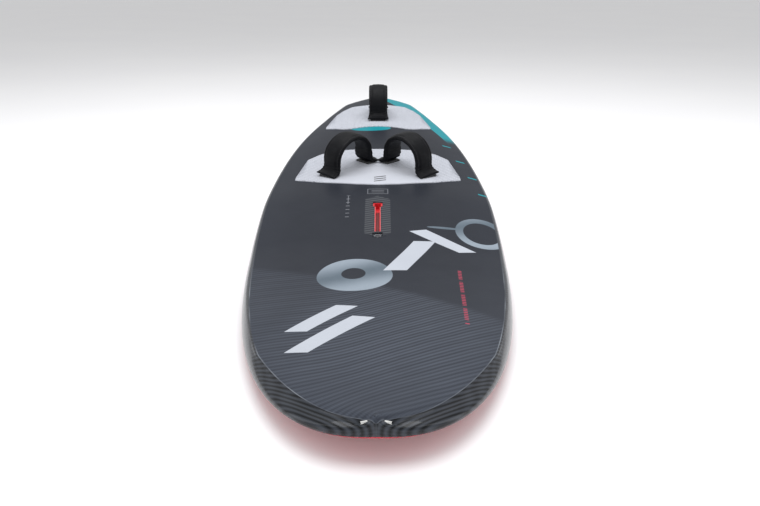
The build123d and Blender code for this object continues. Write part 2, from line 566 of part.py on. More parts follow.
def build():
    """Every node of the board, by name."""
    hull = hull_loft()
    core = hull_loft(SKIN, TIP_SKIN)
    raised = Pos(0, 0, PAD_HEIGHT) * hull

    straps = {"rear": strap_plane(REAR_FOOT_AFT, REAR_FOOT_FORE)}
    feet = {"rear": (REAR_FOOT_AFT, REAR_FOOT_FORE)}
    for side, name in ((-1, "front_left"), (1, "front_right")):
        pair = (mirrored_foot(FRONT_OUTER_FOOT, side), mirrored_foot(FRONT_INNER_FOOT, side))
        feet[name] = pair
        straps[name] = strap_plane(*pair)

    nodes, tongues = {}, {}
    plates, screws, plugs, plug_cutters, holes = [], [], [], [], []
    for name, plane in straps.items():
        cover, webbing, padding = strap(plane)
        nodes[name + "_strap_cover"] = cover
        nodes[name + "_strap_webbing"] = webbing
        nodes[name + "_strap_padding"] = padding
        tongues[name] = []
        for foot in feet[name]:
            tongue, plate, screw, plug, thread, hole = strap_foot(foot, plane, raised)
            tongues[name].append(tongue)
            plates.append(plate)
            screws.append(screw)
            plugs.append((plug & hull) - thread)
            plug_cutters.append(plug)
            holes.append(hole)
        nodes[name + "_strap_tongues"] = Compound(children=tongues[name])
    nodes["strap_plates"] = Compound(children=plates)
    nodes["strap_screws"] = Compound(children=screws)
    nodes["strap_plugs"] = Compound(children=plugs)

    nodes.update(pads(hull, raised, Compound(children=holes)))

    track = track_box()
    track_cut = extrude(Pos(0, 0, -SKIN - CUT_MARGIN) * track_neck(), amount=SKIN + BIG, dir=(0, 0, 1))
    body_low = -(CHANNEL_DEPTH + TRACK_FLOOR)
    body = block(CHANNEL_WIDTH + 2 * TRACK_WALL, LIP_LENGTH + 2 * TRACK_WALL, body_low, -SKIN)
    fin_y = TRACK_STATION - FIN_STATION
    fin_cut = block(FIN_BOX_WIDTH, FIN_BOX_LENGTH, BOTTOM_Z - CUT_MARGIN, BOTTOM_Z + FIN_BOX_DEPTH,
                    y=fin_y)
    housing, vent_screw, ring = vent_parts()
    vent_cut = post(VENT_RADIUS, -VENT_DEPTH, BIG, y=TRACK_STATION - VENT_STATION)

    track_block = dense_block(LIP_LENGTH + 2 * TRACK_WALL, CHANNEL_WIDTH + 2 * TRACK_WALL,
                              body_low - BLOCK_WALL, 0.0, 0.0, core)
    fin_block = dense_block(FIN_BOX_LENGTH, FIN_BOX_WIDTH, BOTTOM_Z,
                            BOTTOM_Z + FIN_BOX_DEPTH + BLOCK_WALL, fin_y, core)
    plug_cut = Compound(children=plug_cutters)
    nodes["mast_track_block"] = track_block - body - track_cut - vent_cut
    nodes["fin_box_block"] = fin_block - fin_cut
    nodes["foam_core"] = core - track_block - fin_block - vent_cut - body - plug_cut
    shell = hull - core
    upper = above_parting()
    nodes["deck_skin"] = (shell & upper) - track_cut - vent_cut - plug_cut - body
    nodes["bottom_skin"] = (shell - upper) - fin_cut
    nodes["mast_track_box"] = track
    nodes["fin_box"] = fin_box()
    nodes["vent_housing"] = housing
    nodes["vent_screw"] = vent_screw
    nodes["vent_ring"] = ring

    fin, pin, tab_y = fin_blade()
    plate, washer, screw = fin_fixings(tab_y)
    nodes.update({"fin": fin, "fin_pin": pin, "fin_plate": plate, "fin_washer": washer,
                  "fin_screw": screw})
    return nodes, straps


if __name__ == "__main__":
    os.makedirs("parts", exist_ok=True)
    board, strap_planes = build()
    for node_name, shape in board.items():
        export_step(shape, os.path.join("parts", node_name + ".step"))
    for strap_name, (base, span) in strap_planes.items():
        print(strap_name, "axis through", tuple(round(v, 2) for v in base.origin),
              "along", tuple(round(v, 4) for v in base.x_dir), "span", round(span, 1))
    print("bottom at", round(BOTTOM_Z, 2))
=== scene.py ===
"""Looks of a freestyle windsurf board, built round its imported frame.

The frame's origin is the centre of the mast track's slot, level with the deck. +Z points out
of the deck, the nose is towards -Y and the tail towards +Y. Sizes here are in millimetres and
become metres when a mesh is made. A station is a distance from the tail.
"""
import json
import logging
import math
from dataclasses import dataclass, field
from enum import Enum
from typing import Callable, Iterable, Optional, Sequence

import bmesh
import bpy
import numpy as np
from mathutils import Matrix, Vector

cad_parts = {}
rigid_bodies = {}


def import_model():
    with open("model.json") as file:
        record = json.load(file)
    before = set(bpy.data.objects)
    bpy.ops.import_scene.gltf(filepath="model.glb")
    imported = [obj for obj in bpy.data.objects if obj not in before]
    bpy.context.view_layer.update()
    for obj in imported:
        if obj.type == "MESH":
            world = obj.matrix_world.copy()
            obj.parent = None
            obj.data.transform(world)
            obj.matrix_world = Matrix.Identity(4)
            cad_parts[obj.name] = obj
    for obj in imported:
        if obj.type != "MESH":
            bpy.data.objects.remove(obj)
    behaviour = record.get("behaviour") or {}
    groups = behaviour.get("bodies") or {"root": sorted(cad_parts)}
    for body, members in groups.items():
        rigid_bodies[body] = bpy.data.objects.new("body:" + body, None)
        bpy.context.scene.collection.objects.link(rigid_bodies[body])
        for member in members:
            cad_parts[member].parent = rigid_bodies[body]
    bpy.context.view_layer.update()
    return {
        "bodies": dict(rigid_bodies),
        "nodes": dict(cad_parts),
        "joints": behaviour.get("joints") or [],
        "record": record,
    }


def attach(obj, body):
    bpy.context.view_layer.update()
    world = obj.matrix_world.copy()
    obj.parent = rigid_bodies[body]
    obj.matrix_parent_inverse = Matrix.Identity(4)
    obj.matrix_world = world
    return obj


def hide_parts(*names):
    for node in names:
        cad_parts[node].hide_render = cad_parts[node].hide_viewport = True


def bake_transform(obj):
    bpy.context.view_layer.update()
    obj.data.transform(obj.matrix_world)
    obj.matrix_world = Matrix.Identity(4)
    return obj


MM = 0.001
Point = tuple[float, float, float]
Colour = tuple[float, float, float]
LOG = logging.getLogger("board")


# ---- shader expressions --------------------------------------------------------------
class Value:
    """A number that varies over a surface, with arithmetic that adds Math nodes."""

    def __init__(self, shader: "Shader", socket: bpy.types.NodeSocket) -> None:
        """Wraps an output socket.

        Args:
            shader: the material that the socket belongs to.
            socket: the output socket.
        """
        self.shader = shader
        self.socket = socket

    def math(self, operation: str, *others: "Value | float") -> "Value":
        """Adds a Math node with this value first and returns its result.

        Args:
            operation: the node's operation.
            others: its further inputs.

        Returns:
            The result.
        """
        inputs = {i: v for i, v in enumerate((self, *others))}
        return self.shader.node("ShaderNodeMath", {"operation": operation}, inputs)

    def __add__(self, other: "Value | float") -> "Value":
        """Sum."""
        return self.math("ADD", other)

    __radd__ = __add__

    def __sub__(self, other: "Value | float") -> "Value":
        """Difference."""
        return self.math("SUBTRACT", other)

    def __rsub__(self, other: float) -> "Value":
        """Difference from a number."""
        return (self * -1.0) + other

    def __mul__(self, other: "Value | float") -> "Value":
        """Product."""
        return self.math("MULTIPLY", other)

    __rmul__ = __mul__

    def __truediv__(self, other: "Value | float") -> "Value":
        """Quotient."""
        return self.math("DIVIDE", other)

    def __pow__(self, other: "Value | float") -> "Value":
        """Power."""
        return self.math("POWER", other)

    def __abs__(self) -> "Value":
        """Size without sign."""
        return self.math("ABSOLUTE")

    def least(self, other: "Value | float") -> "Value":
        """The smaller of two.

        Args:
            other: what to compare with.

        Returns:
            The smaller one at each place.
        """
        return self.math("MINIMUM", other)

    def most(self, other: "Value | float") -> "Value":
        """The larger of two.

        Args:
            other: what to compare with.

        Returns:
            The larger one at each place.
        """
        return self.math("MAXIMUM", other)

    def wave(self, pitch: float) -> "Value":
        """Sine of this length with the given pitch, from 0 to 1.

        Args:
            pitch: length of one wave.

        Returns:
            The wave.
        """
        return (self * (2 * math.pi / pitch)).math("SINE") * 0.5 + 0.5

    def zigzag(self, pitch: float) -> "Value":
        """Distance to the nearest multiple of a pitch.

        Args:
            pitch: spacing of the multiples.

        Returns:
            The distance, at most half the pitch.
        """
        return self.math("PINGPONG", pitch / 2)

    def rise(self, low: float, high: float) -> "Value":
        """Smooth step from 0 at low to 1 at high; low may be the larger.

        Args:
            low: where the step starts.
            high: where the step ends.

        Returns:
            The step.
        """
        settings = {"interpolation_type": "SMOOTHSTEP"}
        if low < high:
            return self.shader.node("ShaderNodeMapRange", settings, {0: self, 1: low, 2: high})
        return 1.0 - self.shader.node("ShaderNodeMapRange", settings, {0: self, 1: high, 2: low})

    def within(self, centre: float, half: float, soft: float = 0.4) -> "Value":
        """Mask that is 1 where this lies within half of a centre.

        Args:
            centre: middle of the mask.
            half: its half width.
            soft: half width of its soft edge.

        Returns:
            The mask.
        """
        return abs(self - centre).rise(half + soft, half - soft)


class Tint:
    """A colour or vector that varies over a surface."""

    def __init__(self, shader: "Shader", socket: bpy.types.NodeSocket) -> None:
        """Wraps an output socket of a material.

        Args:
            shader: the material that the socket belongs to.
            socket: the output socket.
        """
        self.shader = shader
        self.socket = socket

    def towards(self, other: "Tint | Colour", factor: "Value | float") -> "Tint":
        """Mixes this colour with another one.

        Args:
            other: the colour at a factor of 1.
            factor: the share of the other colour.

        Returns:
            The mixed colour.
        """
        return self.shader.mix(self, other, factor)


class Shader:
    """A material under construction, with one Principled surface."""

    def __init__(self, name: str, **constants: float) -> None:
        """Starts a material.

        Args:
            name: the material's name.
            constants: values of the surface's own sockets, by name with _ for a space.
        """
        self.material = bpy.data.materials.new(name)
        self.material.use_nodes = True
        self.tree = self.material.node_tree
        self.surface = self.tree.nodes["Principled BSDF"]
        for key, value in constants.items():
            self.surface.inputs[key.replace("_", " ")].default_value = value
        self._place: Optional[Tint] = None

    def node(self, kind: str, settings: dict, inputs: dict, output: int = 0) -> Value:
        """Adds any node.

        Args:
            kind: the node's type.
            settings: its properties, set before its sockets.
            inputs: numbers, colours or links, by socket index or name.
            output: index of the output wanted.

        Returns:
            The output as a value.
        """
        made = self.tree.nodes.new(kind)
        for key, value in settings.items():
            setattr(made, key, value)
        for key, value in inputs.items():
            if isinstance(value, (Value, Tint)):
                self.tree.links.new(value.socket, made.inputs[key])
            else:
                made.inputs[key].default_value = value
        return Value(self, made.outputs[output])

    def place(self) -> Tint:
        """Position in the frame, in metres.

        Returns:
            The position as a vector.
        """
        if self._place is None:
            made = self.node("ShaderNodeTexCoord", {}, {}, 3)
            self._place = Tint(self, made.socket)
        return self._place

    def xyz(self) -> tuple[Value, Value, Value]:
        """Position in the frame as three lengths in millimetres.

        Returns:
            Place across, place along and height.
        """
        parts = self.node("ShaderNodeSeparateXYZ", {}, {0: self.place()}).socket.node
        return tuple(Value(self, parts.outputs[i]) * 1000.0 for i in range(3))

    def scaled(self, x: float, y: float, z: float) -> Tint:
        """Position stretched by a factor along each axis.

        Args:
            x: factor across.
            y: factor along.
            z: factor in height.

        Returns:
            The stretched position.
        """
        made = self.node("ShaderNodeVectorMath", {"operation": "MULTIPLY"},
                         {0: self.place(), 1: (x, y, z)})
        return Tint(self, made.socket)

    def noise(self, size: float, detail: float = 3.0, stretch: Point = (1, 1, 1)) -> Value:
        """Soft noise from 0 to 1.

        Args:
            size: size of its patches in millimetres.
            detail: number of finer layers.
            stretch: how much finer it is along each axis.

        Returns:
            The noise.
        """
        return self.node("ShaderNodeTexNoise", {},
                         {"Vector": self.scaled(*stretch), "Scale": 1000.0 / size,
                          "Detail": detail, "Roughness": 0.55})

    def cells(self, size: float, stretch: Point = (1, 1, 1)) -> Value:
        """Distance to the middle of irregular cells of a size in millimetres.

        Args:
            size: size of a cell.
            stretch: how much finer the cells are along each axis.

        Returns:
            The distance.
        """
        return self.node("ShaderNodeTexVoronoi", {},
                         {"Vector": self.scaled(*stretch), "Scale": 1000.0 / size})

    def mix(self, a: "Tint | Colour", b: "Tint | Colour", factor: "Value | float") -> Tint:
        """Mixes two colours by a factor.

        Args:
            a: the colour at a factor of 0.
            b: the colour at a factor of 1.
            factor: the share of the second colour.

        Returns:
            The mixed colour.
        """
        def whole(c: "Tint | Colour") -> "Tint | tuple[float, ...]":
            """The colour as a link, or with an alpha of 1."""
            return c if isinstance(c, Tint) else (*c, 1.0)
        made = self.node("ShaderNodeMix", {"data_type": "RGBA"},
                         {0: factor, 6: whole(a), 7: whole(b)}, 2)
        return Tint(self, made.socket)

    def facing(self) -> Value:
        """How far the surface faces up, from -1 to 1.

        Returns:
            The height part of the surface normal.
        """
        normal = self.node("ShaderNodeNewGeometry", {}, {}, 1)
        parts = self.node("ShaderNodeSeparateXYZ", {}, {0: Tint(self, normal.socket)}).socket.node
        return Value(self, parts.outputs[2])

    def finish(self, colour: "Tint | None" = None, roughness: "Value | None" = None,
               bump: "Value | None" = None, height: float = 0.1,
               coat: "Value | None" = None) -> bpy.types.Material:
        """Links what varies to the surface.

        Args:
            colour: base colour.
            roughness: roughness.
            bump: height field from 0 to 1.
            height: height of the bump in millimetres.
            coat: weight of the clear coat.

        Returns:
            The finished material.
        """
        links = {"Base Color": colour, "Roughness": roughness, "Coat Weight": coat}
        for name, value in links.items():
            if value is not None:
                self.tree.links.new(value.socket, self.surface.inputs[name])
        if bump is not None:
            normal = self.node("ShaderNodeBump", {},
                               {"Height": bump, "Distance": height * MM, "Strength": 1.0})
            self.tree.links.new(normal.socket, self.surface.inputs["Normal"])
        return self.material


# ---- hull shape ----------------------------------------------------------------------
@dataclass
class HullShape:
    """The hull's outline, rocker, deck line and sections."""

    length: float = 2250.0
    width: float = 628.0
    thickness: float = 120.0
    nose_lift: float = 227.0
    rocker_start: float = 802.0
    rocker_power: float = 2.03
    wide_station: float = 1225.0
    nose_fullness: float = 2.03
    nose_roundness: float = 0.411
    nose_shoulder: float = 0.075
    tail_taper: float = 0.665
    tail_round: float = 90.0
    deck_crown: float = 26.0
    rail_apex: float = 0.42
    track_station: float = 1273.0
    deck_flat: float = 110.0
    deck_at_track: float = 0.93
    parting: float = 0.717
    tip_round: float = 13.0
    tip_reach: float = 60.0
    panel_reach: float = 270.0
    edge_inset: float = 14.0
    edge_widening: float = 34.0
    inset_limit: float = 0.45
    tip_inset: float = 0.40
    tuck: float = 30.0
    tuck_widening: float = 35.0
    tuck_limit: float = 0.5
    tuck_pull: float = 0.42
    crown_limit: float = 0.35
    crown_fade: float = 200.0
    crease_start: float = 0.72
    crease_length: float = 0.2
    aft_thickness: tuple = ((0.0, 0.30), (0.136, 0.48), (0.273, 0.64), (0.526, 0.86),
                            (0.82, 1.0))
    fore_thickness: tuple = ((0.206, 0.75), (0.562, 0.66), (0.808, 0.48), (1.0, 0.32))
    deck_line: list[tuple[float, float]] = field(init=False)

    def __post_init__(self) -> None:
        """Works out the deck's centreline."""
        aft_end = self.track_station - self.deck_flat
        fore_start = self.track_station + self.deck_flat
        self.track_height = self.rocker(self.track_station) + self.deck_at_track * self.thickness
        aft = [(share * aft_end, thick) for share, thick in self.aft_thickness]
        fore = [(fore_start + share * (self.length - fore_start), thick)
                for share, thick in self.fore_thickness]
        aft, fore = ([(s, self.rocker(s) + thick * self.thickness) for s, thick in part]
                     for part in (aft, fore))
        self.deck_line = aft + [(aft_end, self.track_height), (fore_start, self.track_height)]
        self.deck_line += fore

    def half_width(self, s: float) -> float:
        """Half the beam at a station.

        Args:
            s: the station.

        Returns:
            The half beam.
        """
        if s > self.wide_station:
            u = (s - self.wide_station) / (self.length - self.wide_station)
            close = max(1 - u ** self.nose_fullness, 0.0) ** self.nose_roundness
            return self.width / 2 * close * (1 + self.nose_shoulder * u ** 2 * (1 - u))
        u = (self.wide_station - s) / self.wide_station
        close = math.sqrt(max(1 - max(1 - s / self.tail_round, 0.0) ** 2, 0.0))
        return self.width / 2 * (1 - self.tail_taper * u ** 2) * close

    def rocker(self, s: float) -> float:
        """Height of the bottom above its flat run.

        Args:
            s: the station.

        Returns:
            The height.
        """
        u = max((s - self.rocker_start) / (self.length - self.rocker_start), 0.0)
        return self.nose_lift * u ** self.rocker_power

    def deck(self, s: float) -> float:
        """Height of the deck's centreline above the bottom's flat run.

        Args:
            s: the station.

        Returns:
            The height.
        """
        points = self.deck_line
        slopes = [(b[1] - a[1]) / (b[0] - a[0]) for a, b in zip(points, points[1:])]
        turns = [slopes[0]]
        for p, q in zip(slopes, slopes[1:]):
            turns.append(2 * p * q / (p + q) if p * q > 0 else 0.0)
        turns.append(slopes[-1])
        i = 0
        while i < len(points) - 2 and s > points[i + 1][0]:
            i += 1
        step = points[i + 1][0] - points[i][0]
        u = (s - points[i][0]) / step
        return ((2 * u ** 3 - 3 * u ** 2 + 1) * points[i][1]
                + (u ** 3 - 2 * u ** 2 + u) * step * turns[i]
                + (3 * u ** 2 - 2 * u ** 3) * points[i + 1][1]
                + (u ** 3 - u ** 2) * step * turns[i + 1])

    def rail(self, s: float) -> dict[str, float]:
        """Named sizes of the section at a station, heights above the bottom's flat run.

        Args:
            s: the station.

        Returns:
            The sizes by name.
        """
        w = self.half_width(s)
        bottom, top = self.rocker(s), self.deck(s)
        crown = min((top - bottom) * self.crown_limit,
                    self.deck_crown * min(1.0, w / self.crown_fade))
        ahead = max(0.0, (s / self.length - 0.5) / 0.5)
        to_tip = self.length - s
        widening = min(1.0, max(0.0, 1 - to_tip / self.panel_reach))
        most = self.inset_limit + self.tip_inset * max(0.0, 1 - to_tip / self.tip_reach)
        inset = min(w * most, self.edge_inset + self.edge_widening * widening)
        tuck = min(w * self.tuck_limit, self.tuck + self.tuck_widening * ahead)
        apex = bottom + (top - crown - bottom) * self.rail_apex
        crease = (s - self.crease_start * self.length) / (self.crease_length * self.length)
        crease = min(1.0, max(0.0, crease))
        return dict(w=w, bottom=bottom, top=top, crown=crown, inset=inset, tuck=tuck,
                    apex=apex, crease=crease, edge_x=w - inset, edge_z=top - crown)

    def lower_rail(self, r: dict[str, float]) -> list[tuple[float, float]]:
        """Control points of the lower rail, from the flat bottom up to the apex.

        Args:
            r: named sizes of the section.

        Returns:
            Four points, each a distance across and a height.
        """
        w, low, apex = r["w"], r["bottom"], r["apex"]
        return [(w - r["tuck"], low), (w - self.tuck_pull * r["tuck"], low),
                (w, low + self.tuck_pull * (apex - low)), (w, apex)]

    def place(self, x: float, s: float, z: float) -> Point:
        """Frame position of a point given by its station and its height above the flat run.

        Args:
            x: distance across.
            s: the station.
            z: height above the flat run.

        Returns:
            The position.
        """
        r = self.rail(s)
        reach = max(0.0, 1 - (self.length - s) / self.tip_reach)
        span = (r["top"] - r["apex"]) if z > r["apex"] else (r["apex"] - r["bottom"])
        off = min(1.0, abs(z - r["apex"]) / max(span, 1e-6))
        back = self.tip_round * reach ** 2 * (1 - math.sqrt(max(0.0, 1 - off ** 2)))
        return (x, self.track_station - s + back, z - self.track_height)

    def surface(self, x: float, y: float) -> float:
        """Height of the deck in the frame at a place.

        Args:
            x: place across.
            y: place along.

        Returns:
            The height.
        """
        r = self.rail(min(max(self.track_station - y, 0.0), self.length))
        return r["top"] - r["crown"] * (x / max(r["edge_x"], 1.0)) ** 2 - self.track_height


def bezier(points: Sequence[tuple[float, float]], t: float) -> tuple[float, float]:
    """Point at t on a cubic curve with four control points.

    Args:
        points: the control points.
        t: share of the way along.

    Returns:
        The point.
    """
    k = ((1 - t) ** 3, 3 * t * (1 - t) ** 2, 3 * t * t * (1 - t), t ** 3)
    return (sum(a * p[0] for a, p in zip(k, points)), sum(a * p[1] for a, p in zip(k, points)))


# ---- mesh helpers --------------------------------------------------------------------
def make_object(name: str, points: Iterable[Point], faces: Iterable[Sequence[int]],
                materials: Sequence[bpy.types.Material], indices: Optional[Sequence[int]] = None,
                sharp: float = 35.0) -> bpy.types.Object:
    """Makes a smooth-shaded mesh object from millimetre points.

    Args:
        name: name of the object.
        points: vertices.
        faces: vertex indices of each face.
        materials: its material slots.
        indices: material index of each face.
        sharp: angle in degrees above which an edge stays crisp.

    Returns:
        The new object, linked to the scene.
    """
    mesh = bpy.data.meshes.new(name)
    mesh.from_pydata([tuple(c * MM for c in p) for p in points], [], [tuple(f) for f in faces])
    mesh.validate()
    for material in materials:
        mesh.materials.append(material)
    if indices is not None:
        mesh.polygons.foreach_set("material_index", list(indices))
    mesh.polygons.foreach_set("use_smooth", [True] * len(mesh.polygons))
    mesh.set_sharp_from_angle(angle=math.radians(sharp))
    mesh.update()
    made = bpy.data.objects.new(name, mesh)
    bpy.context.scene.collection.objects.link(made)
    return made


def grid_faces(rows: int, columns: int, start: int = 0, wrap: bool = False) -> list[tuple]:
    """Quads of a grid of vertices stored row by row, closed across its columns on request.

    Args:
        rows: number of rows.
        columns: number of columns.
        start: index of the first vertex.
        wrap: whether the last column joins the first.

    Returns:
        Vertex indices of each quad.
    """
    faces = []
    for i in range(rows - 1):
        for j in range(columns if wrap else columns - 1):
            k = (j + 1) % columns
            faces.append((start + i * columns + j, start + i * columns + k,
                          start + (i + 1) * columns + k, start + (i + 1) * columns + j))
    return faces


def slab(top: list[list[Point]], low: list[list[Point]]) -> tuple[list[Point], list[tuple]]:
    """Closed solid between two grids of the same shape.

    Args:
        top: upper grid, whose rows run so that its faces point up.
        low: lower grid.

    Returns:
        Points and faces.
    """
    rows, columns = len(top), len(top[0])
    points = [p for row in top for p in row] + [p for row in low for p in row]
    count = rows * columns
    faces = grid_faces(rows, columns)
    faces += [tuple(reversed(f)) for f in grid_faces(rows, columns, count)]
    loop = list(range(columns))
    loop += [i * columns + columns - 1 for i in range(1, rows)]
    loop += [(rows - 1) * columns + j for j in range(columns - 2, -1, -1)]
    loop += [i * columns for i in range(rows - 2, 0, -1)]
    for a, b in zip(loop, loop[1:] + loop[:1]):
        faces.append((b, a, a + count, b + count))
    return points, faces


def spread(low: float, high: float, count: int, edge: float = 0.0) -> list[float]:
    """Even values from low to high, with close extra ones at both ends.

    Args:
        low: first value.
        high: last value.
        count: number of even steps.
        edge: width of the close steps at each end, or 0 for none.

    Returns:
        The values in order.
    """
    even = [low + (high - low) * i / count for i in range(count + 1)]
    if not edge or high - low < 4 * edge:
        return even
    near = [edge * f for f in (0.12, 0.35, 0.65, 1.0)]
    inner = [low + 1.6 * edge + (high - low - 3.2 * edge) * i / count for i in range(count + 1)]
    return [low] + [low + n for n in near] + inner + [high - n for n in near[::-1]] + [high]


# ---- finishes ------------------------------------------------------------------------
def ellipse(x: Value, y: Value, centre: tuple[float, float],
            radii: tuple[float, float]) -> Value:
    """Square of the distance from a centre, counted in radii.

    Args:
        x: place across.
        y: place along.
        centre: middle of the ellipse.
        radii: its half widths across and along.

    Returns:
        A value that is 1 on the ellipse and less inside it.
    """
    return ((x - centre[0]) / radii[0]) ** 2.0 + ((y - centre[1]) / radii[1]) ** 2.0


@dataclass(frozen=True)
class DeckFinish:
    """Satin carbon deck with banded fibre towards the nose, glossy rails, plain graphics and
    painted highlights.
    """

    base: Colour = (0.0150, 0.0175, 0.0250)
    dark: Colour = (0.002, 0.0025, 0.0035)
    light: Colour = (0.088, 0.102, 0.132)
    pale: Colour = (0.48, 0.51, 0.57)
    silver: Colour = (0.30, 0.35, 0.41)
    steel: Colour = (0.09, 0.12, 0.15)
    teal: Colour = (0.005, 0.26, 0.31)
    pink: Colour = (0.42, 0.05, 0.09)
    rail: Colour = (0.044, 0.050, 0.062)
    # colour of the painted highlight along the deck's edge line
    edge_highlight: Colour = (0.20, 0.22, 0.25)
    stripe: Colour = (0.075, 0.080, 0.090)
    small: Colour = (0.26, 0.27, 0.30)
    band_pitch: float = 12.0
    band_offset: float = 70.0
    patch_y: float = 5.0
    frame_y: float = 159.0
    scale_x: float = -79.0
    bars: tuple = (((-86, -651), (92, 20), 49, 0.55), ((-108, -577), (72, 20), 49, 0.55),
                   ((158, -127), (78, 19), -42, -0.6), ((77, -226), (100, 24), 68, 0.5))

    def edge_distance(self, x: Value, y: Value) -> Value:
        """Distance in from the deck's edge line, negative on the rail.

        Args:
            x: place across.
            y: place along.

        Returns:
            The distance.
        """
        hull = HullShape()
        wide_y = hull.track_station - hull.wide_station
        ahead = ((wide_y - y) / (hull.length - hull.wide_station)).most(0.0).least(1.0)
        behind = ((y - wide_y) / hull.wide_station).most(0.0)
        close = (1.0 - ahead ** hull.nose_fullness).most(0.0) ** hull.nose_roundness
        swell = ahead * ahead * (1.0 - ahead) * hull.nose_shoulder + 1.0
        half = close * swell * (1.0 - behind * behind * hull.tail_taper) * (hull.width / 2)
        to_tip = y + (hull.length - hull.track_station)
        widening = (1.0 - to_tip / hull.panel_reach).most(0.0).least(1.0)
        inset = widening * hull.edge_widening + hull.edge_inset
        nearing = (1.0 - to_tip / hull.tip_reach).most(0.0).least(1.0)
        most = nearing * hull.tip_inset + hull.inset_limit
        return half - inset.least(half * most) - abs(x)

    def bar(self, x: Value, y: Value, centre: tuple[float, float], size: tuple[float, float],
            angle: float, skew: float = 0.0) -> Value:
        """Mask of a slanted bar.

        Args:
            x: place across.
            y: place along.
            centre: middle of the bar.
            size: half its length and half its width.
            angle: direction of its length from +X, in degrees.
            skew: lean of its ends.

        Returns:
            The mask.
        """
        c, s = math.cos(math.radians(angle)), math.sin(math.radians(angle))
        along = (x - centre[0]) * c + (y - centre[1]) * s
        across = (x - centre[0]) * -s + (y - centre[1]) * c
        return (along + across * skew).within(0.0, size[0]) * across.within(0.0, size[1])

    def graphics(self, x: Value, y: Value) -> tuple[Value, Value]:
        """Masks of the pale and of the gradient shapes.

        Args:
            x: place across.
            y: place along.

        Returns:
            The two masks.
        """
        pale = self.bar(x, y, *self.bars[0])
        for each in self.bars[1:]:
            pale = pale.most(self.bar(x, y, *each))
        ring = ellipse(x, y, (-50, -346), (84, 96)).rise(1.012, 0.988)
        ring = ring * ellipse(x, y, (-53, -338), (27, 33)).rise(0.97, 1.03)
        arc = ellipse(x, y, (262, -62), (66, 82)).math("SQRT")
        arc = arc.within(0.86, 0.15, 0.008) * (x - y * 0.9).rise(150.0, 152.0)
        sliver = ellipse(x, y, (168, -52), (44, 6)).rise(1.04, 0.96)
        return pale, ring.most(arc.most(sliver))

    def patch(self, x: Value, y: Value) -> Value:
        """Mask of the long hexagonal field round the mast track.

        Args:
            x: place across.
            y: place along.

        Returns:
            The mask.
        """
        end = (abs(y - self.patch_y) + abs(x) * 0.62).rise(121.5, 120.5)
        return abs(x).rise(33.3, 32.7) * end

    def small_marks(self, x: Value, y: Value) -> tuple[Value, Value, Value]:
        """Masks of the teal, pink and pale small marks.

        Args:
            x: place across.
            y: place along.

        Returns:
            The three masks.
        """
        ticks = (y + x * 0.35 - 26.0).zigzag(132.0).rise(4.8, 3.8)
        edge = x - (334.0 - ((y + 60.0) / 1000.0) ** 2.0 * 185.0)
        ticks = ticks * edge.within(-32.0, 12.0) * y.within(410.0, 245.0)
        band = edge.rise(-16.0, -14.0) * y.rise(640.0, 720.0)
        tail = (y + x * 1.6).rise(1290.0, 1294.0) * x.rise(2.0, 4.0)
        below = ellipse(x, y, (-24, 762), (66, 34))
        teal = ticks.most(band).most(tail).most(below.rise(1.03, 0.97))
        pink = (x - 0.032 * y).within(195.5, 4.2) * y.within(-445.0, 147.0)
        pink = pink * y.zigzag(9.0).rise(2.0, 2.6) * (y - 6.0).zigzag(73.0).rise(5.0, 6.0)
        mid = self.frame_y
        frame = x.within(0.0, 28.0) * y.within(mid, 18.0)
        inner = x.within(0.0, 26.6) * y.within(mid, 16.4)
        rules = x.within(0.0, 17.0) * y.zigzag(11.0).rise(1.6, 1.1) * y.within(mid, 12.0)
        scale = x.within(self.scale_x, 5.0) * y.zigzag(22.0).rise(1.5, 1.0)
        scale = scale * y.within(64.0, 68.0)
        scale = scale.most(x.within(self.scale_x, 0.7) * y.within(104.0, 26.0))
        return teal, pink, (frame - inner).most(rules * 0.7).most(scale)

    def make(self) -> bpy.types.Material:
        """Builds the material.

        Returns:
            The material.
        """
        sh = Shader("deck_finish", Specular_IOR_Level=0.10, Coat_Roughness=0.07)
        x, y, z = sh.xyz()
        edge = self.edge_distance(x, y)
        deck = edge.rise(-1.2, 0.6) * sh.facing().rise(0.3, 0.5)
        drift = sh.noise(160.0, 2.0)
        near = x + self.band_offset
        bow = x * 0.36 + (near * near + 3600.0).math("SQRT") * 0.44
        run = y - bow + drift * 9.0
        bands = run.wave(self.band_pitch) * 0.8 + run.wave(self.band_pitch * 3.1) * 0.2
        panel = (y + x * 0.55).rise(-396.0, -432.0)
        reach = panel * (0.50 + 0.50 * sh.noise(110.0, 2.0))
        fine = (y * 0.9 - abs(x) * 1.1).wave(5.2) * edge.rise(110.0, 12.0)
        lift = y.rise(-100.0, -950.0)
        # painted highlight: the bands are made lighter in an oval patch of the nose panel
        band_highlight = (((x - 20.0) / 210.0) ** 2.0 + ((y + 640.0) / 260.0) ** 2.0).rise(1.3, 0.0)
        shade = bands * reach * (0.42 + 0.34 * band_highlight) + fine * 0.10 + sh.noise(60.0, 4.0) * 0.06
        along = (y - abs(x) * 0.9 + drift * 8.0).wave(10.5)
        around = (z + abs(x) * 0.20 + drift * 12.0).wave(7.0)
        colour = sh.mix(self.base, self.light, shade + lift * 0.16)
        wrap = (along * 0.80 + around * 0.20) * (0.35 + 0.65 * y.rise(-250.0, -480.0))
        rail = sh.mix(self.rail, self.dark, wrap)
        colour = rail.towards(colour, deck)
        # painted highlight: a pale broken line along the deck's edge line towards the nose
        edge_highlight = edge.within(0.4, 0.7, 0.8) * y.rise(-120.0, -420.0)
        colour = colour.towards(self.edge_highlight, edge_highlight * sh.noise(120.0, 2.0).rise(0.35, 0.7))
        weave = (x + y).wave(1.9) * (x - y).wave(1.9)
        patch = self.patch(x, y)
        stripes = (y - x * 0.30).zigzag(12.4).rise(1.7, 2.9)
        colour = colour.towards(self.stripe, patch * (0.20 + 0.75 * (1.0 - stripes)))
        pale, gradient = self.graphics(x, y)
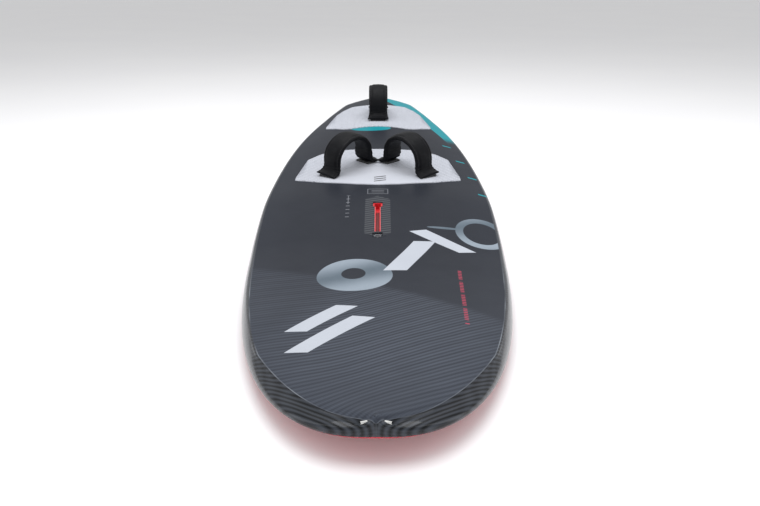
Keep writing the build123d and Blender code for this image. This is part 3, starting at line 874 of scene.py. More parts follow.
        sheen = (x * 0.4 - y + drift * 30.0).wave(190.0) * 0.75 + sh.noise(14.0, 4.0) * 0.10
        metal = sh.mix(self.steel, self.silver, sheen)
        worn = 1.0 - (sh.noise(2.2, 5.0).rise(0.70, 0.76) * 0.5)
        colour = colour.towards(metal, gradient * worn * deck)
        colour = colour.towards(self.pale, pale * worn * (0.86 + 0.14 * drift) * deck)
        teal, pink, white = self.small_marks(x, y)
        colour = colour.towards(self.teal, teal * 0.92)
        colour = colour.towards(self.pink, pink * deck * 0.9)
        colour = colour.towards(self.small, white * deck * 0.8)
        scuff = sh.noise(3.5, 6.0, (1.0, 0.35, 1.0)).rise(0.62, 0.74)
        rough = 0.20 + deck * 0.22 + scuff * 0.05 + sh.noise(45.0, 2.0) * 0.05 - pale * 0.06
        relief = weave * 0.5 + bands * reach * 0.5
        return sh.finish(colour, rough, relief, 0.03, (1.0 - deck) * 0.30 + 0.02)


@dataclass(frozen=True)
class GelcoatFinish:
    """Glossy painted bottom with faint fibre showing through and fine scratches."""

    colour: Colour = (0.52, 0.014, 0.032)
    deep: Colour = (0.30, 0.006, 0.015)
    stripe: Colour = (0.035, 0.037, 0.045)

    def make(self) -> bpy.types.Material:
        """Builds the material.

        Returns:
            The material.
        """
        sh = Shader("bottom_gelcoat", Coat_Weight=0.5, Coat_Roughness=0.06)
        x, y, _ = sh.xyz()
        weave = (x + y).wave(3.0) * (x - y).wave(3.0)
        cloud = sh.noise(220.0, 3.0)
        colour = sh.mix(self.colour, self.deep, cloud * 0.45 + weave * 0.18)
        stripe = (abs(x) + y * 0.12).within(120.0, 9.0, 0.6) * y.within(330.0, 520.0, 4.0)
        colour = colour.towards(self.stripe, stripe * 0.9)
        scratch = sh.noise(1.6, 4.0, (1.0, 0.04, 1.0)).rise(0.66, 0.72)
        rough = 0.16 + scratch * 0.22 + cloud * 0.05
        return sh.finish(colour, rough, weave, 0.015)


@dataclass(frozen=True)
class EvaFinish:
    """Closed-cell foam sheet: fine cells, slight random stains, painted shade in the grooves and a
    dry sheen.
    """

    name: str
    colour: Colour
    # colour of random stains and of the painted shade in the grooves
    stain_and_groove_shade: Colour
    cell: float = 1.1
    mark: bool = False
    ink: Colour = (0.01, 0.01, 0.012)
    groove_pitch: float = 13.0

    def make(self) -> bpy.types.Material:
        """Builds the material.

        Returns:
            The material.
        """
        sh = Shader(self.name, Specular_IOR_Level=0.25, Sheen_Weight=0.12)
        x, y, _ = sh.xyz()
        grain = sh.cells(self.cell)
        one, two = ((way.zigzag(self.groove_pitch).rise(1.5, 0.4)) for way in (x + y, x - y))
        grooves = one.most(two)
        smudge = sh.noise(38.0, 4.0)
        smooth = ellipse(x, y, (0, 262), (150, 92)).rise(0.9, 1.3)
        # painted shade: darker down in the grooves of the pressed pattern; smudge and grain add
        # random stains
        colour = sh.mix(self.colour, self.stain_and_groove_shade,
                        smudge * 0.12 + grooves * smooth * 0.75 + grain * 0.10)
        if self.mark:
            stroke = (y - 252.0 - x * 0.35).zigzag(17.0).rise(3.4, 2.8)
            stroke = stroke * x.within(6.0, 17.0) * (y - x * 0.35).within(252.0, 20.0)
            colour = colour.towards(self.ink, stroke)
        rough = 0.62 + smudge * 0.14 + grain * 0.12
        return sh.finish(colour, rough, grain * 0.6 + sh.noise(0.7, 3.0) * 0.4, 0.09)


@dataclass(frozen=True)
class LeatherFinish:
    """Smooth synthetic leather over padding: fine pebble grain, creases and rubbed highlights."""

    name: str = "strap_leather"
    colour: Colour = (0.0028, 0.0031, 0.0044)
    rubbed: Colour = (0.009, 0.0095, 0.012)

    def make(self) -> bpy.types.Material:
        """Builds the material.

        Returns:
            The material.
        """
        sh = Shader(self.name, Specular_IOR_Level=0.12)
        pebble = sh.cells(1.3)
        crease = sh.noise(9.0, 4.0, (1.0, 1.0, 2.6))
        wear = sh.noise(24.0, 5.0).rise(0.52, 0.72)
        colour = sh.mix(self.colour, self.rubbed, wear * 0.40 + pebble * 0.20)
        rough = 0.40 + crease * 0.16 + pebble * 0.10 - wear * 0.06
        return sh.finish(colour, rough, pebble * 0.35 + crease * 0.65, 0.32)


@dataclass(frozen=True)
class WovenFinish:
    """Narrow woven webbing or thread."""

    name: str
    colour: Colour
    pitch: float = 1.6

    def make(self) -> bpy.types.Material:
        """Builds the material.

        Returns:
            The material.
        """
        sh = Shader(self.name, Specular_IOR_Level=0.2, Sheen_Weight=0.25)
        x, y, z = sh.xyz()
        warp = (x + z * 0.7).wave(self.pitch)
        weft = (y + z * 0.7).wave(self.pitch)
        fuzz = sh.noise(0.8, 4.0)
        pale = tuple(min(1.0, c * 2.6 + 0.01) for c in self.colour)
        colour = sh.mix(self.colour, pale, warp * weft * 0.6 + fuzz * 0.3)
        return sh.finish(colour, 0.72 + fuzz * 0.18, warp * 0.5 + weft * 0.5, 0.15)


@dataclass(frozen=True)
class MouldedFinish:
    """Injection-moulded plastic: fine spark texture, faint flow marks and scuffed edges; on the
    mast track, a painted lip highlight and painted slot shade.
    """

    name: str
    colour: Colour
    roughness: float = 0.42
    # whether the track gets a painted highlight on its lip edges and painted shade inside its slot
    lips: bool = False
    # colour of the painted highlight along the lips' edges
    lip_highlight: Colour = (0.62, 0.30, 0.33)
    shadow: Colour = (0.12, 0.002, 0.005)

    def make(self) -> bpy.types.Material:
        """Builds the material.

        Returns:
            The material.
        """
        sh = Shader(self.name)
        x, y, z = sh.xyz()
        spark = sh.noise(0.6, 3.0)
        flow = sh.noise(12.0, 3.0, (1.0, 0.3, 1.0))
        scuff = sh.noise(2.5, 5.0).rise(0.60, 0.72)
        shade = tuple(c * 0.62 for c in self.colour)
        pale = tuple(min(1.0, c * 1.15 + 0.05) for c in self.colour)
        colour = sh.mix(self.colour, shade, flow * 0.5)
        colour = colour.towards(pale, scuff * 0.35)
        if self.lips:
            # painted highlight along the edges of the track's lips
            lip_highlight = abs(x).within(7.5, 0.5, 0.3) * z.rise(-0.6, -0.2) * y.rise(61.0, 60.0)
            colour = colour.towards(self.lip_highlight, lip_highlight * 0.7)
            # painted shade down inside the slot, leaving the entry at its aft end bright
            inner = z.rise(-1.0, -7.0) * y.rise(62.0, 56.0)
            colour = colour.towards(self.shadow, inner * 0.85)
        rough = self.roughness + spark * 0.10 + scuff * 0.12
        return sh.finish(colour, rough, spark, 0.05)


@dataclass(frozen=True)
class MetalFinish:
    """Turned metal: rings of tool marks, small stains and salt bloom."""

    name: str
    colour: Colour
    roughness: float = 0.26

    def make(self) -> bpy.types.Material:
        """Builds the material.

        Returns:
            The material.
        """
        sh = Shader(self.name, Metallic=1.0)
        marks = sh.noise(0.9, 2.0, (1.0, 1.0, 6.0))
        bloom = sh.noise(4.0, 5.0).rise(0.58, 0.75)
        dull = tuple(c * 0.6 for c in self.colour)
        colour = sh.mix(self.colour, dull, marks * 0.4 + bloom * 0.4)
        return sh.finish(colour, self.roughness + marks * 0.12 + bloom * 0.25, marks, 0.03)


@dataclass(frozen=True)
class FoamFinish:
    """Cut foam: beads with dark borders."""

    name: str
    colour: Colour
    bead: float = 4.0

    def make(self) -> bpy.types.Material:
        """Builds the material.

        Returns:
            The material.
        """
        sh = Shader(self.name, Specular_IOR_Level=0.2)
        beads = sh.cells(self.bead)
        shade = tuple(c * 0.7 for c in self.colour)
        colour = sh.mix(self.colour, shade, beads * 0.8 + sh.noise(60.0, 2.0) * 0.2)
        return sh.finish(colour, 0.78 + beads * 0.15, 1.0 - beads, 0.4)


@dataclass(frozen=True)
class LaminateFinish:
    """Polished fibre laminate: two crossing sets of fibre bands under clear resin."""

    name: str = "fin_laminate"
    colour: Colour = (0.012, 0.013, 0.016)
    fibre: Colour = (0.055, 0.060, 0.070)
    stripe: Colour = (0.32, 0.012, 0.02)

    def make(self) -> bpy.types.Material:
        """Builds the material.

        Returns:
            The material.
        """
        sh = Shader(self.name, Coat_Weight=0.4, Coat_Roughness=0.08)
        _, y, z = sh.xyz()
        one = (y + z).wave(4.2)
        two = (y - z).wave(4.2)
        tip = (y * 0.3 + z).rise(40.0, -60.0)
        colour = sh.mix(self.colour, self.fibre, one * two * 0.8 + sh.noise(20.0, 4.0) * 0.15)
        colour = colour.towards(self.stripe, z.within(-232.0, 6.0, 0.5) * 0.9)
        rough = 0.20 + sh.noise(3.0, 5.0, (1.0, 0.2, 1.0)).rise(0.6, 0.7) * 0.18 + tip * 0.03
        return sh.finish(colour, rough, one * 0.5 + two * 0.5, 0.02)


class Finish(Enum):
    """Named finishes of the board's pieces."""

    DECK = DeckFinish()
    BOTTOM = GelcoatFinish()
    # the third colour of each foam is for random stains and for painted shade in the grooves
    PAD = EvaFinish("pad_eva", (0.52, 0.54, 0.60), (0.20, 0.215, 0.25), 1.1, True)
    BACKING = EvaFinish("backing_eva", (0.005, 0.005, 0.006), (0.014, 0.014, 0.017), 0.8)
    LEATHER = LeatherFinish()
    THREAD = WovenFinish("strap_thread", (0.030, 0.030, 0.034), 0.9)
    WEBBING = WovenFinish("strap_webbing", (0.012, 0.012, 0.014))
    RED_PLASTIC = MouldedFinish("track_plastic", (0.72, 0.020, 0.030), 0.36, True)
    BLACK_PLASTIC = MouldedFinish("black_plastic", (0.014, 0.014, 0.016))
    STEEL = MetalFinish("stainless_steel", (0.60, 0.61, 0.63))
    DARK_STEEL = MetalFinish("coated_steel", (0.10, 0.10, 0.11), 0.42)
    GREY_PLASTIC = MouldedFinish("grey_plastic", (0.19, 0.20, 0.215))
    BRASS = MetalFinish("brass", (0.72, 0.50, 0.20), 0.30)
    SEAL = MouldedFinish("seal_rubber", (0.010, 0.010, 0.011), 0.55)
    CORE = FoamFinish("core_foam", (0.82, 0.82, 0.80))
    DENSE = FoamFinish("dense_foam", (0.62, 0.55, 0.36), 1.4)
    LAMINATE = LaminateFinish()


class Paints:
    """Makes each finish once and hands it out."""

    def __init__(self) -> None:
        """Starts with nothing made."""
        self._made: dict[Finish, bpy.types.Material] = {}

    def __getitem__(self, finish: Finish) -> bpy.types.Material:
        """The material of a finish.

        Args:
            finish: the finish wanted.

        Returns:
            Its material.
        """
        if finish not in self._made:
            self._made[finish] = finish.value.make()
        return self._made[finish]


# ---- hull ----------------------------------------------------------------------------
@dataclass
class Hull:
    """Deck and bottom skins as smooth shells with the openings for track, vent and fin box."""

    shape: HullShape
    paints: Paints
    skin: float = 3.6
    weld: float = 0.02
    rows: int = 230
    track_half: tuple[float, float] = (8.05, 87.05)
    head_half: float = 12.55
    head_start: float = 59.95
    vent_y: float = -103.0
    vent_half: float = 12.0
    vent_radius: float = 8.0
    box_half: tuple[float, float] = (12.5, 107.5)
    box_y: float = 1048.0

    def stations(self, fixed: Sequence[float]) -> list[float]:
        """Stations of the rows, closer at the tips, with given y positions among them.

        Args:
            fixed: y positions that need a row.

        Returns:
            The stations in order.
        """
        length = self.shape.length
        even = [length * (0.5 - 0.5 * math.cos(math.pi * i / self.rows))
                for i in range(self.rows + 1)]
        even += [0.4, 2.0, length - 0.1, length - 0.4]
        wanted = [self.shape.track_station - y for y in fixed]
        kept = [s for s in even if all(abs(s - f) > 1.5 for f in wanted)]
        return sorted(kept + wanted)

    def upper_half(self, s: float) -> list[tuple[float, float]]:
        """Half section of the deck skin from the parting line up to the centreline.

        Args:
            s: the station.

        Returns:
            Points, each a distance across and a height.
        """
        r = self.shape.rail(s)
        w, apex, edge_x, edge_z = r["w"], r["apex"], r["edge_x"], r["edge_z"]
        low = self.shape.lower_rail(r)
        slope = 2 * r["crown"] / max(edge_x, 1.0)
        lean = r["inset"] * (0.60 - 0.40 * r["crease"])
        drop = lean * slope + (edge_z - apex) * 0.30 * r["crease"]
        high = [(w, apex), (w, apex + 0.55 * (edge_z - apex)), (edge_x + lean, edge_z - drop),
                (edge_x, edge_z)]
        points = [bezier(low, t) for t in spread(self.shape.parting, 1.0, 6)]
        points += [bezier(high, t) for t in spread(0.0, 1.0, 14)[1:-1]] + [bezier(high, 0.985)]
        k = min(1.0, edge_x / 90.0)
        fixed = [40.0, 24.0, self.head_half, self.track_half[0], 5.0, 0.0]
        near = max(edge_x - 1.6 * k, 41.0 * k)
        across = [near + (40.0 * k - near) * i / 16 for i in range(16)] + [f * k for f in fixed]
        points += [(x, edge_z + r["crown"] * (1 - (x / max(edge_x, 1e-6)) ** 2)) for x in across]
        return points

    def lower_half(self, s: float) -> list[tuple[float, float]]:
        """Half section of the bottom skin from the parting line down to the centreline.

        Args:
            s: the station.

        Returns:
            Points, each a distance across and a height.
        """
        r = self.shape.rail(s)
        low = self.shape.lower_rail(r)
        points = [bezier(low, t) for t in spread(self.shape.parting, 0.0, 12)]
        flat = low[0][0]
        k = min(1.0, flat / 40.0)
        inner = [flat + (30.0 * k - flat) * i / 10 for i in range(1, 11)]
        return points + [(x, r["bottom"]) for x in inner + [self.box_half[0] * k, 0.0]]

    def shell(self, name: str, half: Callable, fixed: Sequence[float], hole: Callable,
              up: bool, finish: Finish) -> bpy.types.Object:
        """Builds one skin.

        Args:
            name: piece name.
            half: function that gives a half section.
            fixed: y positions that need a row.
            hole: says whether a face's middle lies in an opening.
            up: whether the skin faces up.
            finish: its finish.

        Returns:
            The skin.
        """
        points, columns = [], 0
        stations = self.stations(fixed)
        for s in stations:
            side = half(s)
            row = [(-x, z) for x, z in side[:-1]] + [side[-1]] + [(x, z) for x, z in side[-2::-1]]
            columns = len(row)
            points += [self.shape.place(x, s, z) for x, z in row]
        faces = []
        for face in grid_faces(len(stations), columns):
            mx = sum(points[i][0] for i in face) / 4
            my = sum(points[i][1] for i in face) / 4
            mz = sum(points[i][2] for i in face) / 4
            if hole(mx, my, mz):
                continue
            faces.append(face if up else tuple(reversed(face)))
        if up:
            self.add_vent_ring(points, faces)
        made = make_object(name, points, faces, [self.paints[finish]], sharp=60.0)
        weld = bmesh.new()
        weld.from_mesh(made.data)
        bmesh.ops.remove_doubles(weld, verts=weld.verts, dist=self.weld * MM)
        bmesh.ops.dissolve_degenerate(weld, edges=weld.edges, dist=self.weld * MM)
        weld.to_mesh(made.data)
        weld.free()
        solid = made.modifiers.new("wall", "SOLIDIFY")
        solid.thickness = self.skin * MM
        solid.offset = -1.0
        return made

    def add_vent_ring(self, points: list[Point], faces: list[tuple]) -> None:
        """Closes the square left in the deck down to the round hole of the vent.

        Args:
            points: vertices to add to.
            faces: faces to add to.
        """
        start, count = len(points), 48
        for square in (True, False):
            for i in range(count):
                a = 2 * math.pi * i / count
                x, y = math.cos(a), math.sin(a)
                grow = self.vent_radius
                if square:
                    grow = min(self.head_half / max(abs(x), 1e-9),
                               self.vent_half / max(abs(y), 1e-9))
                x, y = x * grow, y * grow
                points.append((x, self.vent_y + y, self.shape.surface(x, self.vent_y + y)))
        for i in range(count):
            j = (i + 1) % count
            faces.append((start + i, start + j, start + count + j, start + count + i))

    def build(self) -> list[bpy.types.Object]:
        """Builds and places both skins.

        Returns:
            The pieces made.
        """
        tx, ty = self.track_half
        vy, vh = self.vent_y, self.vent_half

        def deck_hole(x: float, y: float, z: float) -> bool:
            """Whether a place lies in the track's, the entry's or the vent's opening."""
            if z < -20:
                return False
            track = abs(x) < tx and abs(y) < ty
            head = abs(x) < self.head_half and self.head_start < y < ty
            return track or head or (abs(x) < self.head_half and abs(y - vy) < vh)

        def bottom_hole(x: float, y: float, _: float) -> bool:
            """Whether a place lies in the fin box's opening."""
            return abs(x) < self.box_half[0] and abs(y - self.box_y) < self.box_half[1]

        rows = [-ty, self.head_start, ty, vy - vh, vy + vh]
        deck = self.shell("deck_shell", self.upper_half, rows, deck_hole, True, Finish.DECK)
        ends = [self.box_y - self.box_half[1], self.box_y + self.box_half[1]]
        bottom = self.shell("bottom_shell", self.lower_half, ends, bottom_hole, False,
                            Finish.BOTTOM)
        for piece, node, slot in ((deck, "deck_skin", "deck"), (bottom, "bottom_skin", "bottom")):
            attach(piece, "board")
            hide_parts(node)
        return [deck, bottom]


# ---- deck pads -----------------------------------------------------------------------
@dataclass
class DeckPad:
    """One foam pad: dark backing sheet and pale cushion with diamond grooves."""

    shape: HullShape
    paints: Paints
    name: str
    fore: list[tuple[float, float]]
    aft: list[tuple[float, float]]
    plain_centre: tuple[float, float]
    plain_size: tuple[float, float]
    backing: float = 2.0
    height: float = 7.0
    reveal: float = 3.6
    edge: float = 3.2
    groove_pitch: float = 13.0
    groove_depth: float = 1.4
    lift: float = 0.02
    rows: int = 150

    def line(self, points: list[tuple[float, float]], x: float) -> float:
        """Station of one edge of the pad at a distance from the centreline.

        Args:
            points: corners of the edge.
            x: distance from the centreline.

        Returns:
            The station.
        """
        return float(np.interp(abs(x), [p[0] for p in points], [p[1] for p in points]))

    def relief(self, x: float, y: float) -> float:
        """Depth of the pressed pattern at a place.

        Args:
            x: place across.
            y: place along.

        Returns:
            The depth.
        """
        px, py = self.plain_centre
        qx, qy = self.plain_size
        far = math.hypot((x - px) / qx, (y - py) / qy)
        share = min(1.0, max(0.0, (far - 1.0) / 0.18))
        p = self.groove_pitch

        def groove(v: float) -> float:
            """Depth, from 0 to 1, of the grooves that cross a direction."""
            d = abs((v / p) % 1.0 - 0.5) * p
            return max(0.0, 1 - (p / 2 - d) / 1.9)
        return self.groove_depth * share * max(groove(x + y), groove(x - y))

    def grid(self, inset: float, raise_to: float, fine: bool) -> list[list[Point]]:
        """Grid over the pad's outline.

        Args:
            inset: distance kept from the outline.
            raise_to: height above the deck.
            fine: whether the edge is rounded and the pattern pressed in.

        Returns:
            Rows of points, from the tail side forward, each from one side to the other.
        """
        half = self.fore[-1][0] - inset
        xs = spread(-half, half, int(half), self.edge)
        rows = []
        for k in range(self.rows + 11):
            row = []
            for x in xs:
                front = self.line(self.fore, x) - inset
                rear = self.line(self.aft, x) + inset
                mid = (front + rear) / 2
                front, rear = max(front, mid), min(rear, mid)
                span = front - rear
                steps = spread(0.0, 1.0, self.rows, min(0.2, self.edge / max(span, 1e-6)))
                t = steps[k]
                s = rear + span * t
                y = self.shape.track_station - s
                z = self.shape.surface(x, y) + raise_to
                if fine:
                    gap = min(span * t, span * (1 - t), half - abs(x))
                    round_off = max(0.0, self.edge - gap)
                    z -= self.edge - math.sqrt(max(0.0, self.edge ** 2 - round_off ** 2))
                    z -= self.relief(x, y) * min(1.0, gap / (2 * self.edge))
                row.append((x, y, z))
            rows.append(row)
        return rows

    def build(self) -> list[bpy.types.Object]:
        """Builds and places the backing and the cushion.

        Returns:
            The pieces made.
        """
        made = []
        layers = ((self.name + "_sheet", 0.0, 0.0, self.backing, False,
                   Finish.BACKING, "pad_backing"),
                  (self.name + "_cushion", self.reveal, self.backing, self.height, True,
                   Finish.PAD, "pad_foam"))
        for name, inset, low, high, fine, finish, slot in layers:
            top = self.grid(inset, high, fine)
            under = [[(x, y, self.shape.surface(x, y) + low + self.lift) for x, y, _ in row]
                     for row in top]
            points, faces = slab(top, under)
            piece = make_object(name, points, faces, [self.paints[finish]], sharp=50.0)
            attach(piece, "board")
            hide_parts(self.name if fine else self.name + "_backing")
            made.append(piece)
        return made


# ---- footstraps ----------------------------------------------------------------------
@dataclass
class Footstrap:
    """A padded strap cover with flared feet, edge seams, stitches and a closing flap; the frame's
    cover, padding and webbing nodes are hidden.
    """

    shape: HullShape
    paints: Paints
    name: str
    foot_a: tuple[float, float]
    foot_b: tuple[float, float]
    seed: int
    width: float = 64.0
    height: float = 104.0
    leg: float = 42.0
    leg_inset: float = 5.0
    thickness: float = 13.5
    pad_height: float = 7.0
    bend_low: float = 6.0
    bend_high: float = 30.0
    flare: float = 4.0
    flare_reach: float = 34.0
    thin_reach: float = 22.0
    seam_inset: float = 8.5
    frill: float = 1.8
    frill_reach: float = 9.0
    ring: int = 40
    band_start: int = 15

    def __post_init__(self) -> None:
        """Works out the strap's own axes."""
        ends = []
        for x, s in (self.foot_a, self.foot_b):
            y = self.shape.track_station - s
            ends.append(np.array((x, y, self.shape.surface(x, y) + self.pad_height)))
        self.middle = (ends[0] + ends[1]) / 2
        along = ends[1] - ends[0]
        self.span = float(np.linalg.norm(along))
        self.along = along / self.span
        flat = np.array((self.along[1], -self.along[0], 0.0))
        self.side = flat / np.linalg.norm(flat)
        self.up = np.cross(self.side, self.along)

    def centreline(self) -> np.ndarray:
        """Middle of the cover's thickness in the strap's plane, from foot to foot.

        Returns:
            Points, each a distance along and a height.
        """
        half = self.span / 2 - self.leg_inset - self.thickness / 2 + 0.5
        rise = self.height - self.leg - self.thickness / 2
        foot = [(half + 27.0, 7.0), (half + 21.0, 7.6), (half + 13.0, 9.0), (half + 6.5, 12.0),
                (half + 2.4, 17.0), (half + 0.3, 24.0), (half, 31.0), (half, self.leg)]
        arc = [(half * math.cos(a), self.leg + rise * math.sin(a))
               for a in np.linspace(0, math.pi, 26)[1:-1]]
        path = np.array(foot + arc + [(-x, z) for x, z in reversed(foot)])
        gaps = np.r_[0.0, np.cumsum(np.hypot(*np.diff(path, axis=0).T))]
        even = np.linspace(0, gaps[-1], 150)
        return np.c_[np.interp(even, gaps, path[:, 0]), np.interp(even, gaps, path[:, 1])]

    def sweep(self) -> np.ndarray:
        """Cover surface.

        Returns:
            Points by step along the strap and by place round it.
        """
        path = self.centreline()
        for _ in range(3):
            path[1:-1] = (path[:-2] + 2 * path[1:-1] + path[2:]) / 4
        tangent = np.gradient(path, axis=0)
        tangent /= np.linalg.norm(tangent, axis=1)[:, None]
        normal = np.c_[tangent[:, 1], -tangent[:, 0]]
        gaps = np.r_[0.0, np.cumsum(np.hypot(*np.diff(path, axis=0).T))]
        total = gaps[-1]
        rng = np.random.default_rng(self.seed)
        phase = rng.uniform(0, 2 * math.pi, 12)
        rows = []
        for i, ((u, v), n) in enumerate(zip(path, normal)):
            end = min(gaps[i], total - gaps[i])
            flare = max(0.0, 1 - end / self.flare_reach)
            waist = 1 - 0.035 * math.exp(-((end - 46) / 20) ** 2)
            half_w = self.width / 2 * waist + self.flare * flare
            thinning = max(0.0, 1 - end / self.thin_reach) ** 1.2
            half_t = self.thickness / 2 * (1.0 - 0.62 * thinning)
            half_t *= 1 + 0.05 * math.sin(gaps[i] / 17.0 + phase[0])
            ring = []
            for k in range(self.ring):
                a = 2 * math.pi * k / self.ring
                c, s = math.cos(a), math.sin(a)
                w = half_w * math.copysign(abs(c) ** 0.42, c)
                t = half_t * math.copysign(abs(s) ** 0.62, s)
                if s > 0:
                    t += 2.6 * (1 - abs(w / half_w) ** 2.5)
                    seam = abs(abs(w) - (half_w - self.seam_inset))
                    t -= 2.0 * math.exp(-(seam / 1.7) ** 2)
                fold = math.exp(-((end - 30) / 15) ** 2)
                t += fold * 1.0 * math.sin(gaps[i] * 0.62 + w * 0.10 + phase[1])
                t += 0.35 * math.sin(gaps[i] * 0.21 + phase[2]) * math.sin(w * 0.13 + phase[3])
                frill = 0.0
                if end < self.frill_reach:
                    frill = (1 - end / self.frill_reach) * self.frill
                    frill *= math.sin(w * 0.75 + phase[4])
                along = u + n[0] * t + math.copysign(frill, u)
                up = max(v + n[1] * t, 0.35)
                spot = self.middle + self.along * along + self.side * w + self.up * up
                ring.append(spot)
            rows.append(ring)
        return np.array(rows)

    def add_stitches(self, rows: np.ndarray, points: list, faces: list, marks: list) -> None:
        """Lays two rows of thread stitches beside the edge seams.

        Args:
            rows: cover surface, by step and ring.
            points: vertices to add to.
            faces: faces to add to.
            marks: material index of each face, to add to.
        """
        count = rows.shape[0]
        quarter = self.ring // 4
        spots = []
        for offset in (-1, 1):
            k = quarter + offset * (quarter - 5)
            line = rows[:, k, :]
            out = rows[:, quarter, :] - rows[:, 3 * quarter, :]
            spots.append((line, out / np.linalg.norm(out, axis=1)[:, None]))
        for line, out in spots:
            for i in range(12, count - 14, 2):
                a, b = line[i] * 0.9 + line[i + 1] * 0.1, line[i] * 0.2 + line[i + 1] * 0.8
                run = (b - a) / np.linalg.norm(b - a)
                across = np.cross(run, out[i])
                start = len(points)
                for centre, size in ((a, 0.25), ((a + b) / 2, 0.5), (b, 0.25)):
                    for q in range(6):
                        ang = 2 * math.pi * q / 6
                        spot = centre + out[i] * (0.25 + size * math.sin(ang))
                        points.append(tuple(spot + across * size * math.cos(ang)))
                new = grid_faces(3, 6, start, True)
                new += [tuple(range(start + 5, start - 1, -1)),
                        tuple(range(start + 12, start + 18))]
                faces.extend(new)
                marks.extend([1] * len(new))

    def add_band(self, rows: np.ndarray, points: list, faces: list, marks: list) -> None:
        """Adds the closing flap that is wrapped round the lower leg at the first foot.

        Args:
            rows: cover surface, by step and ring.
            points: vertices to add to.
            faces: faces to add to.
            marks: material index of each face, to add to.
        """
        lifts = [-0.3, 1.1, 1.7] + [1.9] * 7 + [1.8, 1.7, 1.1, -0.3]
        start = len(points)
        for i, lift in enumerate(lifts):
            ring = rows[self.band_start + i]
            out = ring - ring.mean(axis=0)
            out /= np.linalg.norm(out, axis=1)[:, None]
            points.extend(tuple(p) for p in ring + out * lift)
        new = [tuple(reversed(f)) for f in grid_faces(len(lifts), self.ring, start, True)]
        faces.extend(new)
        marks.extend([0] * len(new))

    def build(self) -> list[bpy.types.Object]:
        """Builds and places the cover with its stitches and its closing flap.

        Returns:
            The pieces made.
        """
        rows = self.sweep()
        points = [tuple(p) for ring in rows for p in ring]
        faces = [tuple(reversed(f)) for f in grid_faces(rows.shape[0], self.ring, 0, True)]
        last = (rows.shape[0] - 1) * self.ring
        faces.append(tuple(range(self.ring)))
        faces.append(tuple(range(last + self.ring - 1, last - 1, -1)))
        marks = [0] * len(faces)
        self.add_stitches(rows, points, faces, marks)
        self.add_band(rows, points, faces, marks)
        cover = make_object(self.name + "_cover_soft", points, faces,
                            [self.paints[Finish.LEATHER], self.paints[Finish.THREAD]], marks, 70.0)
        start = self.middle + self.up * self.bend_low
        end = self.middle + self.up * self.bend_high
        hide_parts(self.name + "_strap_cover", self.name + "_strap_padding",
                    self.name + "_strap_webbing")
        tuple(start * MM)
        tuple(end * MM)
        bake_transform(cover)
        return [cover]


# ---- carried-over frame nodes --------------------------------------------------------
@dataclass
class Hardware:
    """Frame nodes whose shape is right and that get a better finish."""

    paints: Paints
    nodes: dict[str, Finish] = field(default_factory=lambda: {
        "foam_core": Finish.CORE, "mast_track_block": Finish.DENSE, "fin_box_block": Finish.DENSE,
        "mast_track_box": Finish.RED_PLASTIC, "fin_box": Finish.BLACK_PLASTIC,
        "vent_housing": Finish.GREY_PLASTIC, "strap_plugs": Finish.BLACK_PLASTIC,
        "strap_plates": Finish.BLACK_PLASTIC, "strap_screws": Finish.STEEL,
        "front_left_strap_tongues": Finish.WEBBING, "front_right_strap_tongues": Finish.WEBBING,
        "rear_strap_tongues": Finish.WEBBING, "vent_ring": Finish.SEAL,
        "vent_screw": Finish.DARK_STEEL, "fin": Finish.LAMINATE, "fin_pin": Finish.BRASS,
        "fin_plate": Finish.BRASS, "fin_washer": Finish.STEEL, "fin_screw": Finish.STEEL})

    def dress(self, frame: dict) -> list[str]:
        """Gives every listed node its finish and returns their names.

        Args:
            frame: the loaded frame.

        Returns:
            The nodes' names.
        """
        for name, finish in self.nodes.items():
            node = frame["nodes"][name]
            if not node.material_slots:
                node.data.materials.append(self.paints[finish])
            for slot in node.material_slots:
                slot.material = self.paints[finish]
        return list(self.nodes)


